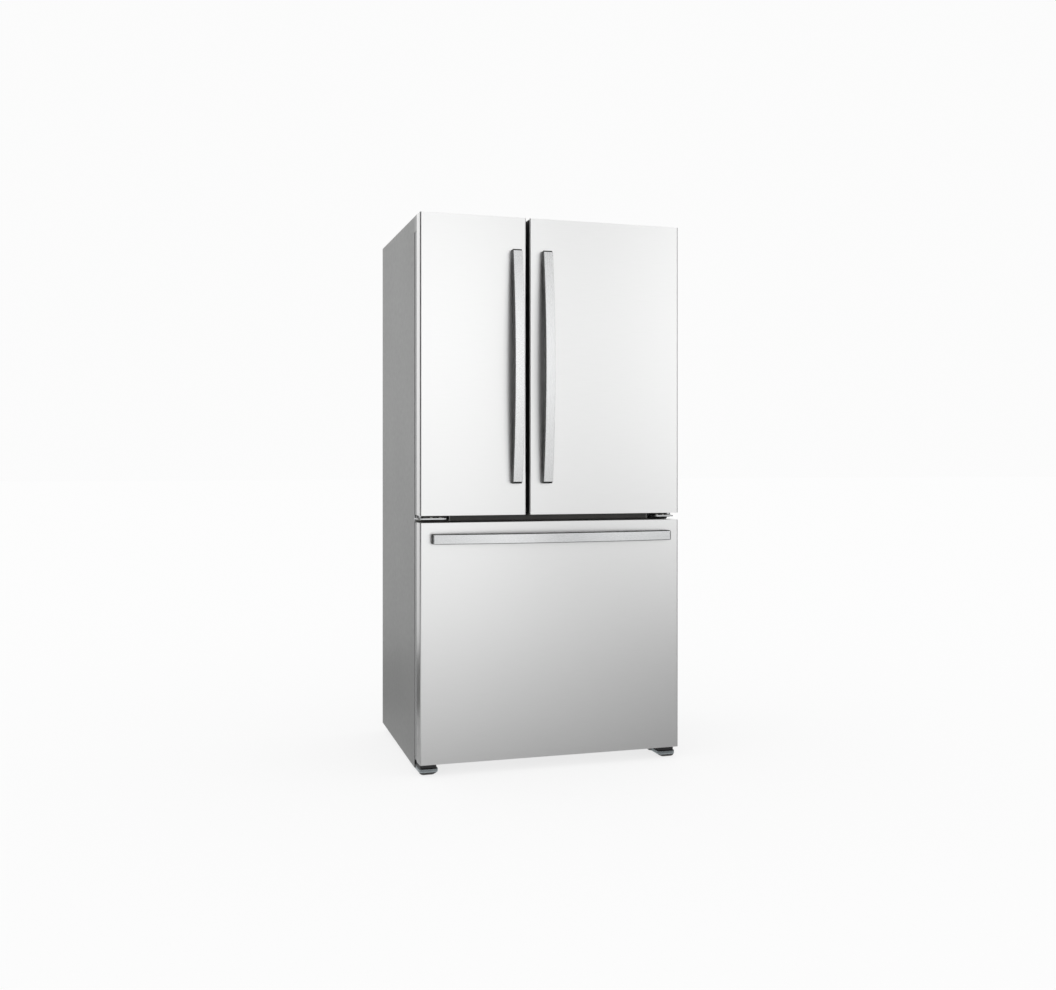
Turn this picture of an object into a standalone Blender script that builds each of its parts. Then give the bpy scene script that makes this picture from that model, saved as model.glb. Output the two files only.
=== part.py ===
"""A French door refrigerator with a bottom freezer drawer, as an assembly of separate pieces.

+X is the right-hand side seen from the front, the doors face -Y, and +Z is up. The origin is on the
floor, under the middle of the bounding box. Lengths are in metres.
"""

import math

import bmesh
import bpy
from mathutils import Matrix, Vector

# Overall size
WIDTH = 0.840
DEPTH = 0.711
HEIGHT = 1.700
HANDLE_PROUD = 0.050
FRONT = HANDLE_PROUD - DEPTH / 2  # the plane of the doors' front faces
BACK = DEPTH / 2
GAP = 0.0003  # between pieces that touch
CLEAR_OF = 0.01  # how far a cutter reaches past the face that it opens
SHEET = 0.0008  # a door's steel skin
CASE_SHEET = 0.001

# Doors and drawer
DOOR_LOW, DOOR_HIGH = 0.7845, 1.697
DRAWER_LOW, DRAWER_HIGH = 0.036, 0.763
LEFT_DOOR_WIDTH = 0.332
RIGHT_DOOR_WIDTH = 0.496
SKIN_DEPTH = 0.050
DOOR_DEPTH = 0.077
PANEL_FRONT = FRONT + SKIN_DEPTH + GAP
PANEL_BACK = FRONT + DOOR_DEPTH
CORNER_RADIUS = 0.005
CORNER_STEPS = 6
CAP_HEIGHT = 0.0122
GASKET_DEPTH = 0.0145
GASKET_WIDTH = 0.012
HINGE_IN = 0.010  # the hinge axis, in from the door's outer side
HINGE_Y = FRONT + 0.062
PIN_RADIUS = 0.005
PIN_BORE = 0.0065
NOTCH_WIDTH = 0.1085  # where the top hinge takes the place of the door's rear part
NOTCH_FLOOR = DOOR_HIGH - 0.049
RIB_LOW, RIB_HIGH = 1.010, 1.600
RIB_BACK = FRONT + 0.100
HINGE_RIB = (0.058, 0.070)
FREE_RIB = (0.049, 0.037)

# Handles
HANDLE_WIDTH = 0.029
HANDLE_END_PROUD = 0.025
STRAP = 0.020
POST = 0.030
HANDLE_LOW, HANDLE_HIGH = 0.8795, 1.598
DRAWER_HANDLE_INSET = 0.034
DRAWER_HANDLE_LOW, DRAWER_HANDLE_HIGH = 0.6993, 0.7303

# Cabinet
CASE_HALF = 0.4185
CASE_INNER = CASE_HALF - CASE_SHEET
CASE_LOW = 0.008  # of the case's sides, at their front
CASE_RISE = 0.019  # how much higher they end at the back
CASE_FRONT = FRONT + 0.093
FILL_FRONT = CASE_FRONT + 0.0025  # the front of the foam and the chassis, behind the case's flange
BACK_RECESS = 0.0005  # how far the rear sheets lie inside the case's rear edge
BACK_SHEET_FRONT = BACK - BACK_RECESS - CASE_SHEET
FLANGE = 0.020
FLANGE_LOW = 0.036  # the flange stops above the foot covers
INNER_HALF = 0.3699
LINER = 0.002
LIP_HALF = 0.3982
FRIDGE_LOW, FRIDGE_HIGH = 0.815, 1.625
FRIDGE_BACK = BACK - 0.050
FREEZER_LOW, FREEZER_HIGH = 0.092, 0.735
FREEZER_BACK = BACK - 0.057
STEP_HEIGHT = 0.305  # the freezer is shallower below this, in front of the compressor
STEP_BACK = BACK - 0.262
MACHINE_FRONT = BACK - 0.215
MACHINE_HIGH = 0.2427
RAIL_LOW, RAIL_HIGH = 0.7503, 0.7997
FLOOR_PLATE = 0.0505
TRAY_LEVEL = 0.0425
CHASSIS_HALF = CASE_INNER - 0.0005
CHASSIS_SHEET = 0.0025
RAIL_INNER = 0.397
SIDE_RAIL_LOW = 0.030
TRIM_LEFT, TRIM_RIGHT = -0.316, 0.332
TRIM_LOW, TRIM_HIGH = 0.7655, 0.7815
TRIM_FRONT = FRONT + 0.055
TRIM_WALL = 0.003
LOUVRE_BANKS = (-0.22, 0.0, 0.22)
LOUVRE_ROWS = 7
LOUVRE_LOW, LOUVRE_PITCH, LOUVRE_HEIGHT, LOUVRE_HALF = 0.080, 0.020, 0.007, 0.075

# Hinge brackets and the covers over the top ones
BRACKET_NEAR = 0.0045  # from the door's outer side
MIDDLE_NEAR = 0.0011
MIDDLE_FAR = {-1: 0.093, 1: 0.067}  # the left bracket is the longer one
BRACKET_SHEET = 0.004
BRACKET_BACK = FRONT + 0.0905
BRACKET_FACE = FRONT + 0.0926  # the flanges' rear face, against the cabinet
TOP_PLATE, MIDDLE_PLATE = 1.656, 0.7715
COLLAR_RADIUS = 0.0085
COVER_NEAR, COVER_FAR = 0.0015, 0.1045
COVER_FRONT, COVER_BACK = FRONT + 0.0515, FRONT + 0.0925
COVER_LOW = 1.650
COVER_WALL = 0.002
COVER_RADIUS = 0.008

# Feet and rollers
FOOT_X, FOOT_Y = 0.3875, FRONT + 0.125
FOOT_COVER_NEAR, FOOT_COVER_FAR = 0.3600, 0.4171
FOOT_COVER_FRONT, FOOT_COVER_BACK = FRONT + 0.018, FRONT + 0.185
FOOT_COVER_LOW, FOOT_COVER_HIGH = 0.001, 0.0325
FOOT_COVER_RADIUS = 0.008
FOOT_BOSS_MIDDLE, FOOT_BOSS_HEIGHT, FOOT_BOSS_RADIUS = 0.0421, 0.0142, 0.010
STEM_RADIUS, FOOT_BORE = 0.005, 0.006
ROLLER_X, ROLLER_Y, ROLLER_RADIUS = 0.375, BACK - 0.060, 0.018
AXLE_RADIUS, AXLE_LENGTH, ROLLER_BORE = 0.004, 0.0285, 0.0052
EARS, EAR_SHEET, EAR_HALF = (0.3605, 0.3865), 0.003, 0.014

# Inside the refrigerator
SHELF_FRONT = FRONT + 0.205
SHELF_BACK = FRIDGE_BACK - 0.028
SHELF_GLASS = 0.004
LEDGE_INSET, LEDGE_WIDTH, LEDGE_HEIGHT = 0.015, 0.012, 0.008
UPPER_SHELF, LOWER_SHELF, CRISPER_COVER = 1.400, 1.200, 1.010
CRISPER_FRONT = FRONT + 0.220
CRISPER_HIGH = 1.000
BIN_BACK = FRONT + 0.175
DAIRY_TOP = 1.448

# Inside the freezer
CHANNEL_LOW, CHANNEL_HIGH = 0.344, 0.376
SIDE_PLATE = (0.3405, 0.3435)
TRAY_LOW = 0.4975
EVAPORATOR_FRONT = FREEZER_BACK - 0.043
FAN_HEIGHT = 0.610
FAN_RADIUS = 0.050
FAN_BLADES = 5

PARTS = None
CUTTERS = None


def clear_scene():
    for item in list(bpy.data.objects):
        bpy.data.objects.remove(item, do_unlink=True)


def make_collections():
    global PARTS, CUTTERS
    PARTS = bpy.data.collections.new("french_door_refrigerator")
    CUTTERS = bpy.data.collections.new("cutters")
    for group in (PARTS, CUTTERS):
        bpy.context.scene.collection.children.link(group)


def paint(piece, colour, roughness, metallic=0.0, alpha=1.0):
    """Gives a piece a material of its own, named after it."""
    finish = bpy.data.materials.new(piece.name)
    finish.use_nodes = True
    shader = finish.node_tree.nodes["Principled BSDF"]
    shader.inputs["Base Color"].default_value = (*colour, 1.0)
    shader.inputs["Roughness"].default_value = roughness
    shader.inputs["Metallic"].default_value = metallic
    shader.inputs["Alpha"].default_value = alpha
    piece.data.materials.clear()
    piece.data.materials.append(finish)
    return piece


STAINLESS = ((0.78, 0.78, 0.77), 0.32, 1.0)
ALUMINIUM = ((0.80, 0.81, 0.82), 0.28, 1.0)
GREY_PAINT = ((0.30, 0.31, 0.31), 0.45, 0.0)
GALVANISED = ((0.55, 0.56, 0.57), 0.40, 1.0)
BLACK_PAINT = ((0.02, 0.02, 0.02), 0.35, 0.0)
DARK_PLASTIC = ((0.045, 0.042, 0.040), 0.50, 0.0)
GREY_PLASTIC = ((0.36, 0.37, 0.37), 0.50, 0.0)
WHITE_PLASTIC = ((0.86, 0.87, 0.87), 0.35, 0.0)
FOAM = ((0.80, 0.72, 0.50), 0.90, 0.0)
RUBBER = ((0.12, 0.12, 0.12), 0.70, 0.0)
CLEAR = ((0.85, 0.90, 0.92), 0.10, 0.0, 0.4)


def new_object(name, bm, centre, group):
    mesh = bpy.data.meshes.new(name)
    bm.to_mesh(mesh)
    bm.free()
    thing = bpy.data.objects.new(name, mesh)
    thing.location = centre
    group.objects.link(thing)
    return thing


def block(name, low, high, group=None):
    """A box between two corners, given in any order, with its origin at its centre."""
    a, b = Vector(low), Vector(high)
    bm = bmesh.new()
    bmesh.ops.create_cube(bm, size=1.0)
    size = [abs(b[i] - a[i]) for i in range(3)]
    bmesh.ops.scale(bm, vec=size, verts=bm.verts)
    return new_object(name, bm, (a + b) / 2, group or PARTS)


def round_edges(thing, chosen, radius, segments=3):
    """Rounds the edges of a block whose two ends pass a test on their local coordinates."""
    bm = bmesh.new()
    bm.from_mesh(thing.data)
    edges = [e for e in bm.edges if all(chosen(v.co) for v in e.verts)]
    bmesh.ops.bevel(bm, geom=edges, offset=radius, segments=segments, profile=0.5, affect="EDGES")
    bm.to_mesh(thing.data)
    bm.free()
    return thing


def round_front(thing, radius, segments=3):
    """Rounds the two upright edges of a block's front face."""
    bm = bmesh.new()
    bm.from_mesh(thing.data)
    upright = []
    for edge in bm.edges:
        a, b = (v.co for v in edge.verts)
        if abs(a.x - b.x) < 1e-6 and abs(a.y - b.y) < 1e-6 and a.y < 0:
            upright.append(edge)
    bmesh.ops.bevel(bm, geom=upright, offset=radius, segments=segments, profile=0.5, affect="EDGES")
    bm.to_mesh(thing.data)
    bm.free()
    return thing


TURN = {
    "X": Matrix.Rotation(math.pi / 2, 3, "Y"),
    "Y": Matrix.Rotation(-math.pi / 2, 3, "X"),
    "Z": Matrix.Identity(3),
}


def rod(name, centre, radius, length, axis="Z", sides=24, group=None):
    """A cylinder along one axis, centred on a point."""
    bm = bmesh.new()
    bmesh.ops.create_cone(
        bm, cap_ends=True, segments=sides, radius1=radius, radius2=radius, depth=length
    )
    bmesh.ops.rotate(bm, matrix=TURN[axis], verts=bm.verts)
    thing = new_object(name, bm, centre, group or PARTS)
    thing.data.shade_smooth()
    thing.data.set_sharp_from_angle(angle=math.radians(40))
    return thing


def turned(name, profile, centre, sides=32):
    """A solid of revolution about Z. The profile runs down its outer side, from axis to axis."""
    bm = bmesh.new()
    corners = [bm.verts.new((r, 0.0, z)) for r, z in profile]
    for a, b in zip(corners, corners[1:]):
        bm.edges.new((a, b))
    thing = new_object(name, bm, centre, PARTS)
    screw = thing.modifiers.new("turn", "SCREW")
    screw.steps = screw.render_steps = sides
    screw.use_merge_vertices = True
    screw.merge_threshold = 0.00005
    return thing


def combine(thing, operation, others):
    """Adds one Boolean for each other solid, which becomes a hidden guide."""
    for other in others:
        for group in list(other.users_collection):
            group.objects.unlink(other)
        CUTTERS.objects.link(other)
        other.hide_render = True
        other.display_type = "WIRE"
        change = thing.modifiers.new(operation.lower(), "BOOLEAN")
        change.operation = operation
        change.solver = "EXACT"
        change.object = other
    return thing


def cut(thing, *others):
    return combine(thing, "DIFFERENCE", others)


def unite(thing, *others):
    return combine(thing, "UNION", others)


def cutter(low, high):
    return block("cutter", low, high, CUTTERS)


def guide_rod(centre, radius, length, axis="Z", sides=24):
    return rod("guide", centre, radius, length, axis, sides, CUTTERS)


def axis_empty(name, place):
    """An empty on a joint's axis, which carries the pieces that move together."""
    empty = bpy.data.objects.new(name, None)
    empty.empty_display_size = 0.05
    empty.location = place
    PARTS.objects.link(empty)
    return empty


def carry(empty, *pieces):
    bpy.context.view_layer.update()
    for piece in pieces:
        piece.parent = empty
        piece.matrix_parent_inverse = empty.matrix_world.inverted()


def outline_solid(name, points, thickness, turn, centre):
    """A flat outline with a thickness. It is a filled 2D curve, made a closed mesh and turned."""
    curve = bpy.data.curves.new(name, "CURVE")
    curve.dimensions = "2D"
    curve.fill_mode = "BOTH"
    curve.extrude = thickness / 2
    spline = curve.splines.new("POLY")
    spline.points.add(len(points) - 1)
    for point, (u, v) in zip(spline.points, points):
        point.co = (u, v, 0.0, 1.0)
    spline.use_cyclic_u = True
    source = bpy.data.objects.new(name + "_outline", curve)
    PARTS.objects.link(source)
    source.matrix_world = Matrix.Translation(centre) @ turn.to_4x4()
    bpy.context.view_layer.update()
    shown = source.evaluated_get(bpy.context.evaluated_depsgraph_get())
    mesh = bpy.data.meshes.new_from_object(shown)
    bm = bmesh.new()
    bm.from_mesh(mesh)
    bmesh.ops.remove_doubles(bm, verts=bm.verts, dist=0.00001)
    bmesh.ops.recalc_face_normals(bm, faces=bm.faces)
    bmesh.ops.dissolve_limit(bm, angle_limit=0.001, verts=bm.verts, edges=bm.edges)
    bm.to_mesh(mesh)
    bm.free()
    solid = bpy.data.objects.new(name, mesh)
    solid.matrix_world = source.matrix_world
    PARTS.objects.link(solid)
    bpy.data.objects.remove(source, do_unlink=True)
    return solid


def bow_outline(length, steps=18):
    """A bowed handle seen from its side: along is u, and out from the door is v."""
    half = length / 2
    rise = HANDLE_PROUD - HANDLE_END_PROUD

    def face(u):
        return HANDLE_END_PROUD + rise * (1 - (u / half) ** 2)

    front = [-half + length * i / steps for i in range(steps + 1)]
    points = [(u, face(u)) for u in front]
    inner = half - POST
    points += [(half, GAP), (inner, GAP)]
    back = [inner - 2 * inner * i / steps for i in range(1, steps)]
    points += [(u, max(face(u) - STRAP, 0.0045)) for u in back]
    points += [(-inner, GAP), (-half, GAP)]
    return points


def soften(piece, width, segments=2, angle=50):
    """Rounds a piece's sharp edges."""
    bevel = piece.modifiers.new("soften", "BEVEL")
    bevel.width = width
    bevel.segments = segments
    bevel.limit_method = "ANGLE"
    bevel.angle_limit = math.radians(angle)
    bevel.use_clamp_overlap = True
    return piece


def tray(name, low, high, wall):
    """An open-topped box."""
    body = block(name, low, high)
    inner_low = (low[0] + wall, low[1] + wall, low[2] + wall)
    inner_high = (high[0] - wall, high[1] - wall, high[2] + wall)
    return cut(body, cutter(inner_low, inner_high))


# --- Cabinet -------------------------------------------------------------------------------------


def outer_case():
    """The painted steel wrapper: two sides and a top, with a flange round the front opening."""
    case = block("outer_case", (-CASE_HALF, CASE_FRONT, CASE_LOW), (CASE_HALF, BACK, HEIGHT))
    opening = CASE_HALF - FLANGE
    flange_front, flange_back = CASE_FRONT - CLEAR_OF, CASE_FRONT + CLEAR_OF
    cut(
        case,
        cutter(
            (-CASE_INNER, CASE_FRONT + CASE_SHEET, 0.0),
            (CASE_INNER, BACK + CLEAR_OF, HEIGHT - CASE_SHEET),
        ),
        cutter((-opening, flange_front, 0.0), (opening, flange_back, HEIGHT - FLANGE)),
        cutter((-CASE_INNER, flange_front, 0.0), (CASE_INNER, flange_back, FLANGE_LOW)),
    )
    wedge = cutter(
        (-CASE_HALF - CLEAR_OF, CASE_FRONT, CASE_LOW - CLEAR_OF),
        (CASE_HALF + CLEAR_OF, BACK + CLEAR_OF, CASE_LOW),
    )
    for vertex in wedge.data.vertices:
        if vertex.co.y > 0 and vertex.co.z > 0:
            vertex.co.z += CASE_RISE
    cut(case, wedge)
    return paint(case, *GREY_PAINT)


def back_panel():
    half = CASE_INNER - GAP
    panel = block(
        "back_panel",
        (-half, BACK_SHEET_FRONT, MACHINE_HIGH),
        (half, BACK_SHEET_FRONT + CASE_SHEET, HEIGHT - CASE_SHEET - BACK_RECESS),
    )
    return paint(panel, *GALVANISED)


def cabinet_foam():
    """The insulation between the case and the two liners, stepped over the machine space."""
    half = CASE_INNER - GAP
    foam = block(
        "cabinet_foam",
        (-half, FILL_FRONT, FLOOR_PLATE + 0.0005),
        (half, BACK_SHEET_FRONT - GAP, HEIGHT - CASE_SHEET - GAP),
    )
    wall = LINER + GAP
    clear = INNER_HALF + wall
    open_front = FILL_FRONT - CLEAR_OF
    cut(
        foam,
        cutter((-clear, open_front, FRIDGE_LOW - wall), (clear, FRIDGE_BACK + wall, FRIDGE_HIGH + wall)),
        cutter((-clear, open_front, FREEZER_LOW - wall), (clear, STEP_BACK + wall, FREEZER_HIGH + wall)),
        cutter((-clear, STEP_BACK, STEP_HEIGHT - wall), (clear, FREEZER_BACK + wall, FREEZER_HIGH + wall)),
        cutter((-WIDTH, MACHINE_FRONT, 0.0), (WIDTH, BACK + CLEAR_OF, MACHINE_HIGH)),
    )
    return paint(foam, *FOAM)


def lip(low, high):
    """The liner's flat rim, which lies against the front of the cabinet."""
    return block("lip", (-LIP_HALF, CASE_FRONT, low), (LIP_HALF, CASE_FRONT + LINER, high), CUTTERS)


def ledge(side, level):
    """A rib on the liner's side wall that a shelf rests on."""
    return block(
        "ledge",
        (side * (INNER_HALF + LINER / 2), SHELF_FRONT + LEDGE_INSET, level - LEDGE_HEIGHT - GAP),
        (side * (INNER_HALF - LEDGE_WIDTH), SHELF_BACK - 0.007, level - GAP),
        CUTTERS,
    )


def fridge_liner():
    half = INNER_HALF + LINER
    shell = block(
        "fridge_liner",
        (-half, CASE_FRONT, FRIDGE_LOW - LINER),
        (half, FRIDGE_BACK + LINER, FRIDGE_HIGH + LINER),
    )
    unite(shell, lip(RAIL_HIGH + GAP, HEIGHT - FLANGE - GAP))
    open_front = CASE_FRONT - CLEAR_OF
    cut(shell, cutter((-INNER_HALF, open_front, FRIDGE_LOW), (INNER_HALF, FRIDGE_BACK, FRIDGE_HIGH)))
    for level in (UPPER_SHELF, LOWER_SHELF, CRISPER_COVER):
        unite(shell, ledge(-1, level), ledge(1, level))
    return paint(shell, *WHITE_PLASTIC)


def freezer_liner():
    half = INNER_HALF + LINER
    shell = block(
        "freezer_liner",
        (-half, CASE_FRONT, FREEZER_LOW - LINER),
        (half, STEP_BACK + LINER, FREEZER_HIGH + LINER),
    )
    upper = block(
        "upper",
        (-half, STEP_BACK - CLEAR_OF, STEP_HEIGHT - LINER),
        (half, FREEZER_BACK + LINER, FREEZER_HIGH + LINER),
        CUTTERS,
    )
    unite(shell, upper, lip(FLOOR_PLATE + 0.0015, RAIL_LOW - GAP))
    open_front = CASE_FRONT - CLEAR_OF
    behind = STEP_BACK - 2 * CLEAR_OF
    cut(
        shell,
        cutter((-INNER_HALF, open_front, FREEZER_LOW), (INNER_HALF, STEP_BACK, FREEZER_HIGH)),
        cutter((-INNER_HALF, behind, STEP_HEIGHT), (INNER_HALF, FREEZER_BACK, FREEZER_HIGH)),
    )
    return paint(shell, *WHITE_PLASTIC)


def mid_rail():
    """The steel rail across the cabinet between the two compartments."""
    rail = block(
        "mid_rail", (-LIP_HALF, CASE_FRONT, RAIL_LOW), (LIP_HALF, CASE_FRONT + 0.0015, RAIL_HIGH)
    )
    return paint(rail, *GREY_PAINT)


def mid_trim():
    """The dark strip between the middle hinges, in the gap above the drawer."""
    wall = TRIM_WALL
    strip = block(
        "mid_trim", (TRIM_LEFT, TRIM_FRONT, TRIM_LOW), (TRIM_RIGHT, CASE_FRONT - 0.0005, TRIM_HIGH)
    )
    inside = cutter(
        (TRIM_LEFT + wall, TRIM_FRONT + wall, TRIM_LOW + wall),
        (TRIM_RIGHT - wall, CASE_FRONT + CLEAR_OF, TRIM_HIGH - wall),
    )
    return paint(cut(strip, inside), *DARK_PLASTIC)


def chassis_side(side):
    """A side rail, the boss for a levelling foot, and the two ears with a roller's axle."""
    rail = block(
        "side_rail",
        (side * RAIL_INNER, FOOT_Y + 0.075, SIDE_RAIL_LOW),
        (side * CHASSIS_HALF, BACK - 0.100, FLOOR_PLATE - 0.001),
        CUTTERS,
    )
    boss = guide_rod((side * FOOT_X, FOOT_Y, FOOT_BOSS_MIDDLE), FOOT_BOSS_RADIUS, FOOT_BOSS_HEIGHT)
    axle = guide_rod((side * ROLLER_X, ROLLER_Y, ROLLER_RADIUS), AXLE_RADIUS, AXLE_LENGTH, "X", 16)
    solids = [rail, boss]
    for inner in EARS:
        ear = block(
            "ear",
            (side * inner, ROLLER_Y - EAR_HALF, 0.008),
            (side * (inner + EAR_SHEET), ROLLER_Y + EAR_HALF, TRAY_LEVEL - 0.001),
            CUTTERS,
        )
        solids.append(ear)
    return solids + [axle]


def base_frame():
    """The steel chassis: floor plate, front and side rails, compressor tray, roller brackets."""
    half = CHASSIS_HALF
    sheet_low = TRAY_LEVEL - CHASSIS_SHEET
    plate_back = MACHINE_FRONT + 0.002
    floor_low = FLOOR_PLATE - 0.002
    frame = block("base_frame", (-half, FILL_FRONT, floor_low), (half, plate_back, FLOOR_PLATE))
    front_rail = block(
        "front_rail",
        (-half, FILL_FRONT, FLANGE_LOW),
        (half, FILL_FRONT + 0.015, FLOOR_PLATE - 0.001),
        CUTTERS,
    )
    rear_tray = block(
        "rear_tray", (-half, MACHINE_FRONT, sheet_low), (half, BACK - 0.004, TRAY_LEVEL), CUTTERS
    )
    riser = block(
        "riser",
        (-half, MACHINE_FRONT - 0.0005, sheet_low),
        (half, plate_back, FLOOR_PLATE - 0.0005),
        CUTTERS,
    )
    unite(frame, front_rail, rear_tray, riser)
    for side in (-1, 1):
        unite(frame, *chassis_side(side))
    for side in (-1, 1):
        cut(frame, guide_rod((side * FOOT_X, FOOT_Y, FOOT_BOSS_MIDDLE), FOOT_BORE, 0.03))
    return paint(frame, *GALVANISED)


# --- Hinges, feet and rollers --------------------------------------------------------------------


def across(side, near, far):
    """X of two distances in from the outer side of the left (-1) or right (1) door."""
    return side * (WIDTH / 2 - near), side * (WIDTH / 2 - far)


def hinge_x(side):
    return side * (WIDTH / 2 - HINGE_IN)


def top_hinge(side, word):
    """The bracket on top of the cabinet, with the pin that holds the door's upper end."""
    near, far = across(side, BRACKET_NEAR, 0.100)
    plate = block(
        word + "_top_hinge", (near, FRONT + 0.0545, TOP_PLATE), (far, BRACKET_BACK, TOP_PLATE + BRACKET_SHEET)
    )
    round_front(plate, 0.0055)
    flange = block("flange", (near, BRACKET_BACK - 0.001, 1.652), (far, BRACKET_FACE, 1.690), CUTTERS)
    pin = guide_rod((hinge_x(side), HINGE_Y, 1.644), PIN_RADIUS, 0.028)
    return paint(unite(plate, flange, pin), *GALVANISED)


def hinge_cover(side, word):
    """The cover of a top hinge, flush with the cabinet's side and top, open below and behind."""
    near, far = across(side, COVER_NEAR, COVER_FAR)
    shell = block(word + "_hinge_cover", (near, COVER_FRONT, COVER_LOW), (far, COVER_BACK, HEIGHT))
    round_front(shell, COVER_RADIUS)
    near, far = across(side, COVER_NEAR + 0.0022, COVER_FAR - 0.0022)
    inside = cutter(
        (near, COVER_FRONT + COVER_WALL, COVER_LOW - CLEAR_OF), (far, FRONT + 0.110, HEIGHT - COVER_WALL)
    )
    round_front(inside, COVER_RADIUS - COVER_WALL)
    return paint(cut(shell, inside), *GREY_PLASTIC)


def middle_hinge(side, word):
    """The bracket between a door and the drawer, with the pin that the door stands on."""
    near, far = across(side, MIDDLE_NEAR, MIDDLE_FAR[side])
    plate = block(
        word + "_middle_hinge",
        (near, FRONT + 0.030, MIDDLE_PLATE),
        (far, BRACKET_BACK, MIDDLE_PLATE + BRACKET_SHEET),
    )
    round_front(plate, 0.012)
    flange = block("flange", (near, BRACKET_BACK - 0.001, 0.7655), (far, BRACKET_FACE, 0.7825), CUTTERS)
    pin = guide_rod((hinge_x(side), HINGE_Y, 0.7933), PIN_RADIUS, 0.0374)
    collar = guide_rod((hinge_x(side), HINGE_Y, 0.7785), COLLAR_RADIUS, 0.008)
    return paint(unite(plate, flange, collar, pin), *GALVANISED)


def foot_cover(side, word):
    """The black housing round a levelling foot, open below."""
    near, far = sorted((side * FOOT_COVER_NEAR, side * FOOT_COVER_FAR))
    low = (near, FOOT_COVER_FRONT, FOOT_COVER_LOW)
    high = (far, FOOT_COVER_BACK, FOOT_COVER_HIGH)
    shell = block(word + "_foot_cover", low, high)
    round_edges(shell, lambda p: p.y < 0, FOOT_COVER_RADIUS, 4)
    wall = 0.005
    roof = 0.003
    cut(
        shell,
        cutter((low[0] + wall, low[1] + wall, -CLEAR_OF), (high[0] - wall, high[1] - wall, high[2] - roof)),
        guide_rod((side * FOOT_X, FOOT_Y, 0.03), 0.008, 0.03),
    )
    return paint(shell, *DARK_PLASTIC)


def levelling_foot(side, word):
    """A foot's disc with its hexagon and its threaded stem, as one piece."""
    foot = rod(word + "_levelling_foot", (side * FOOT_X, FOOT_Y, 0.004), 0.019, 0.008, sides=32)
    stem = guide_rod((side * FOOT_X, FOOT_Y, 0.027), STEM_RADIUS, 0.040)
    nut = guide_rod((side * FOOT_X, FOOT_Y, 0.0105), 0.010, 0.007, sides=6)
    paint(unite(foot, nut, stem), *DARK_PLASTIC)
    carry(axis_empty(word + "_foot_axis", (side * FOOT_X, FOOT_Y, 0.0)), foot)


def rear_roller(side, word):
    place = (side * ROLLER_X, ROLLER_Y, ROLLER_RADIUS)
    wheel = rod(word + "_rear_roller", place, ROLLER_RADIUS, 0.020, "X", 32)
    cut(wheel, guide_rod(place, ROLLER_BORE, 0.04, "X", 20))
    paint(wheel, *DARK_PLASTIC)
    carry(axis_empty(word + "_roller_axis", place), wheel)


# --- Machine space -------------------------------------------------------------------------------


def compressor():
    """A welded steel shell on a base plate, with a stub for the suction tube."""
    profile = [
        (0.0, 0.168), (0.030, 0.165), (0.055, 0.153), (0.068, 0.132), (0.071, 0.105),
        (0.076, 0.101), (0.076, 0.093), (0.071, 0.089), (0.070, 0.040), (0.060, 0.018),
        (0.040, 0.006), (0.0, 0.004),
    ]
    x, y, z = 0.200, BACK - 0.112, TRAY_LEVEL + 0.001
    half_x, half_y, sheet = 0.092, 0.062, 0.006
    shell = turned("compressor", profile, (x, y, z))
    plate = block("plate", (x - half_x, y - half_y, z), (x + half_x, y + half_y, z + sheet), CUTTERS)
    stub = guide_rod((x - 0.075, y, 0.110), 0.005, 0.030, "X", 12)
    unite(shell, plate, stub)
    return paint(shell, *BLACK_PAINT)


def machine_cover():
    """The louvred panel that closes the machine space from behind."""
    half = CASE_HALF - 0.002
    panel = block(
        "machine_cover",
        (-half, BACK - 0.0025, TRAY_LEVEL + 0.001),
        (half, BACK - BACK_RECESS, MACHINE_HIGH - 0.001),
    )
    slots = []
    for bank in LOUVRE_BANKS:
        for row in range(LOUVRE_ROWS):
            level = LOUVRE_LOW + row * LOUVRE_PITCH
            slots.append(
                cutter(
                    (bank - LOUVRE_HALF, BACK - CLEAR_OF, level),
                    (bank + LOUVRE_HALF, BACK + CLEAR_OF, level + LOUVRE_HEIGHT),
                )
            )
    return paint(cut(panel, *slots), *DARK_PLASTIC)


def drip_tray():
    low = (-0.330, BACK - 0.195, TRAY_LEVEL + 0.001)
    return paint(tray("drip_tray", low, (0.050, BACK - 0.035, 0.078), 0.002), *DARK_PLASTIC)


# --- Inside the cabinet --------------------------------------------------------------------------


def glass_shelf(name, level):
    half = INNER_HALF - 0.0014
    return paint(block(name, (-half, SHELF_FRONT, level), (half, SHELF_BACK, level + SHELF_GLASS)), *CLEAR)


def air_duct():
    """The channel up the back wall that lets the cold air out at three levels."""
    half, depth, wall = 0.070, 0.0255, 0.003
    low, high = 1.030, 1.600
    front = FRIDGE_BACK - depth
    duct = block("air_duct", (-half, front, low), (half, FRIDGE_BACK - 0.0005, high))
    hollow = cutter(
        (wall - half, front + wall, low + wall), (half - wall, FRIDGE_BACK + CLEAR_OF, high - wall)
    )
    slots = []
    for level in (1.120, 1.320, 1.530):
        for side in (-1, 1):
            slot_low = (side * 0.015, front - CLEAR_OF, level)
            slot_high = (side * 0.055, front + wall * 2, level + 0.012)
            slots.append(cutter(slot_low, slot_high))
    return paint(cut(duct, hollow, *slots), *WHITE_PLASTIC)


def control_panel():
    """The housing under the ceiling with the lamp and the temperature keys."""
    panel = block(
        "control_panel", (-0.120, FRONT + 0.230, 1.600), (0.120, FRONT + 0.360, FRIDGE_HIGH - 0.0005)
    )
    round_edges(panel, lambda p: p.z < 0, 0.006, 2)
    cut(panel, cutter((-0.060, FRONT + 0.285, 1.590), (0.060, FRONT + 0.340, 1.606)))
    return paint(panel, *WHITE_PLASTIC)


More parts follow.
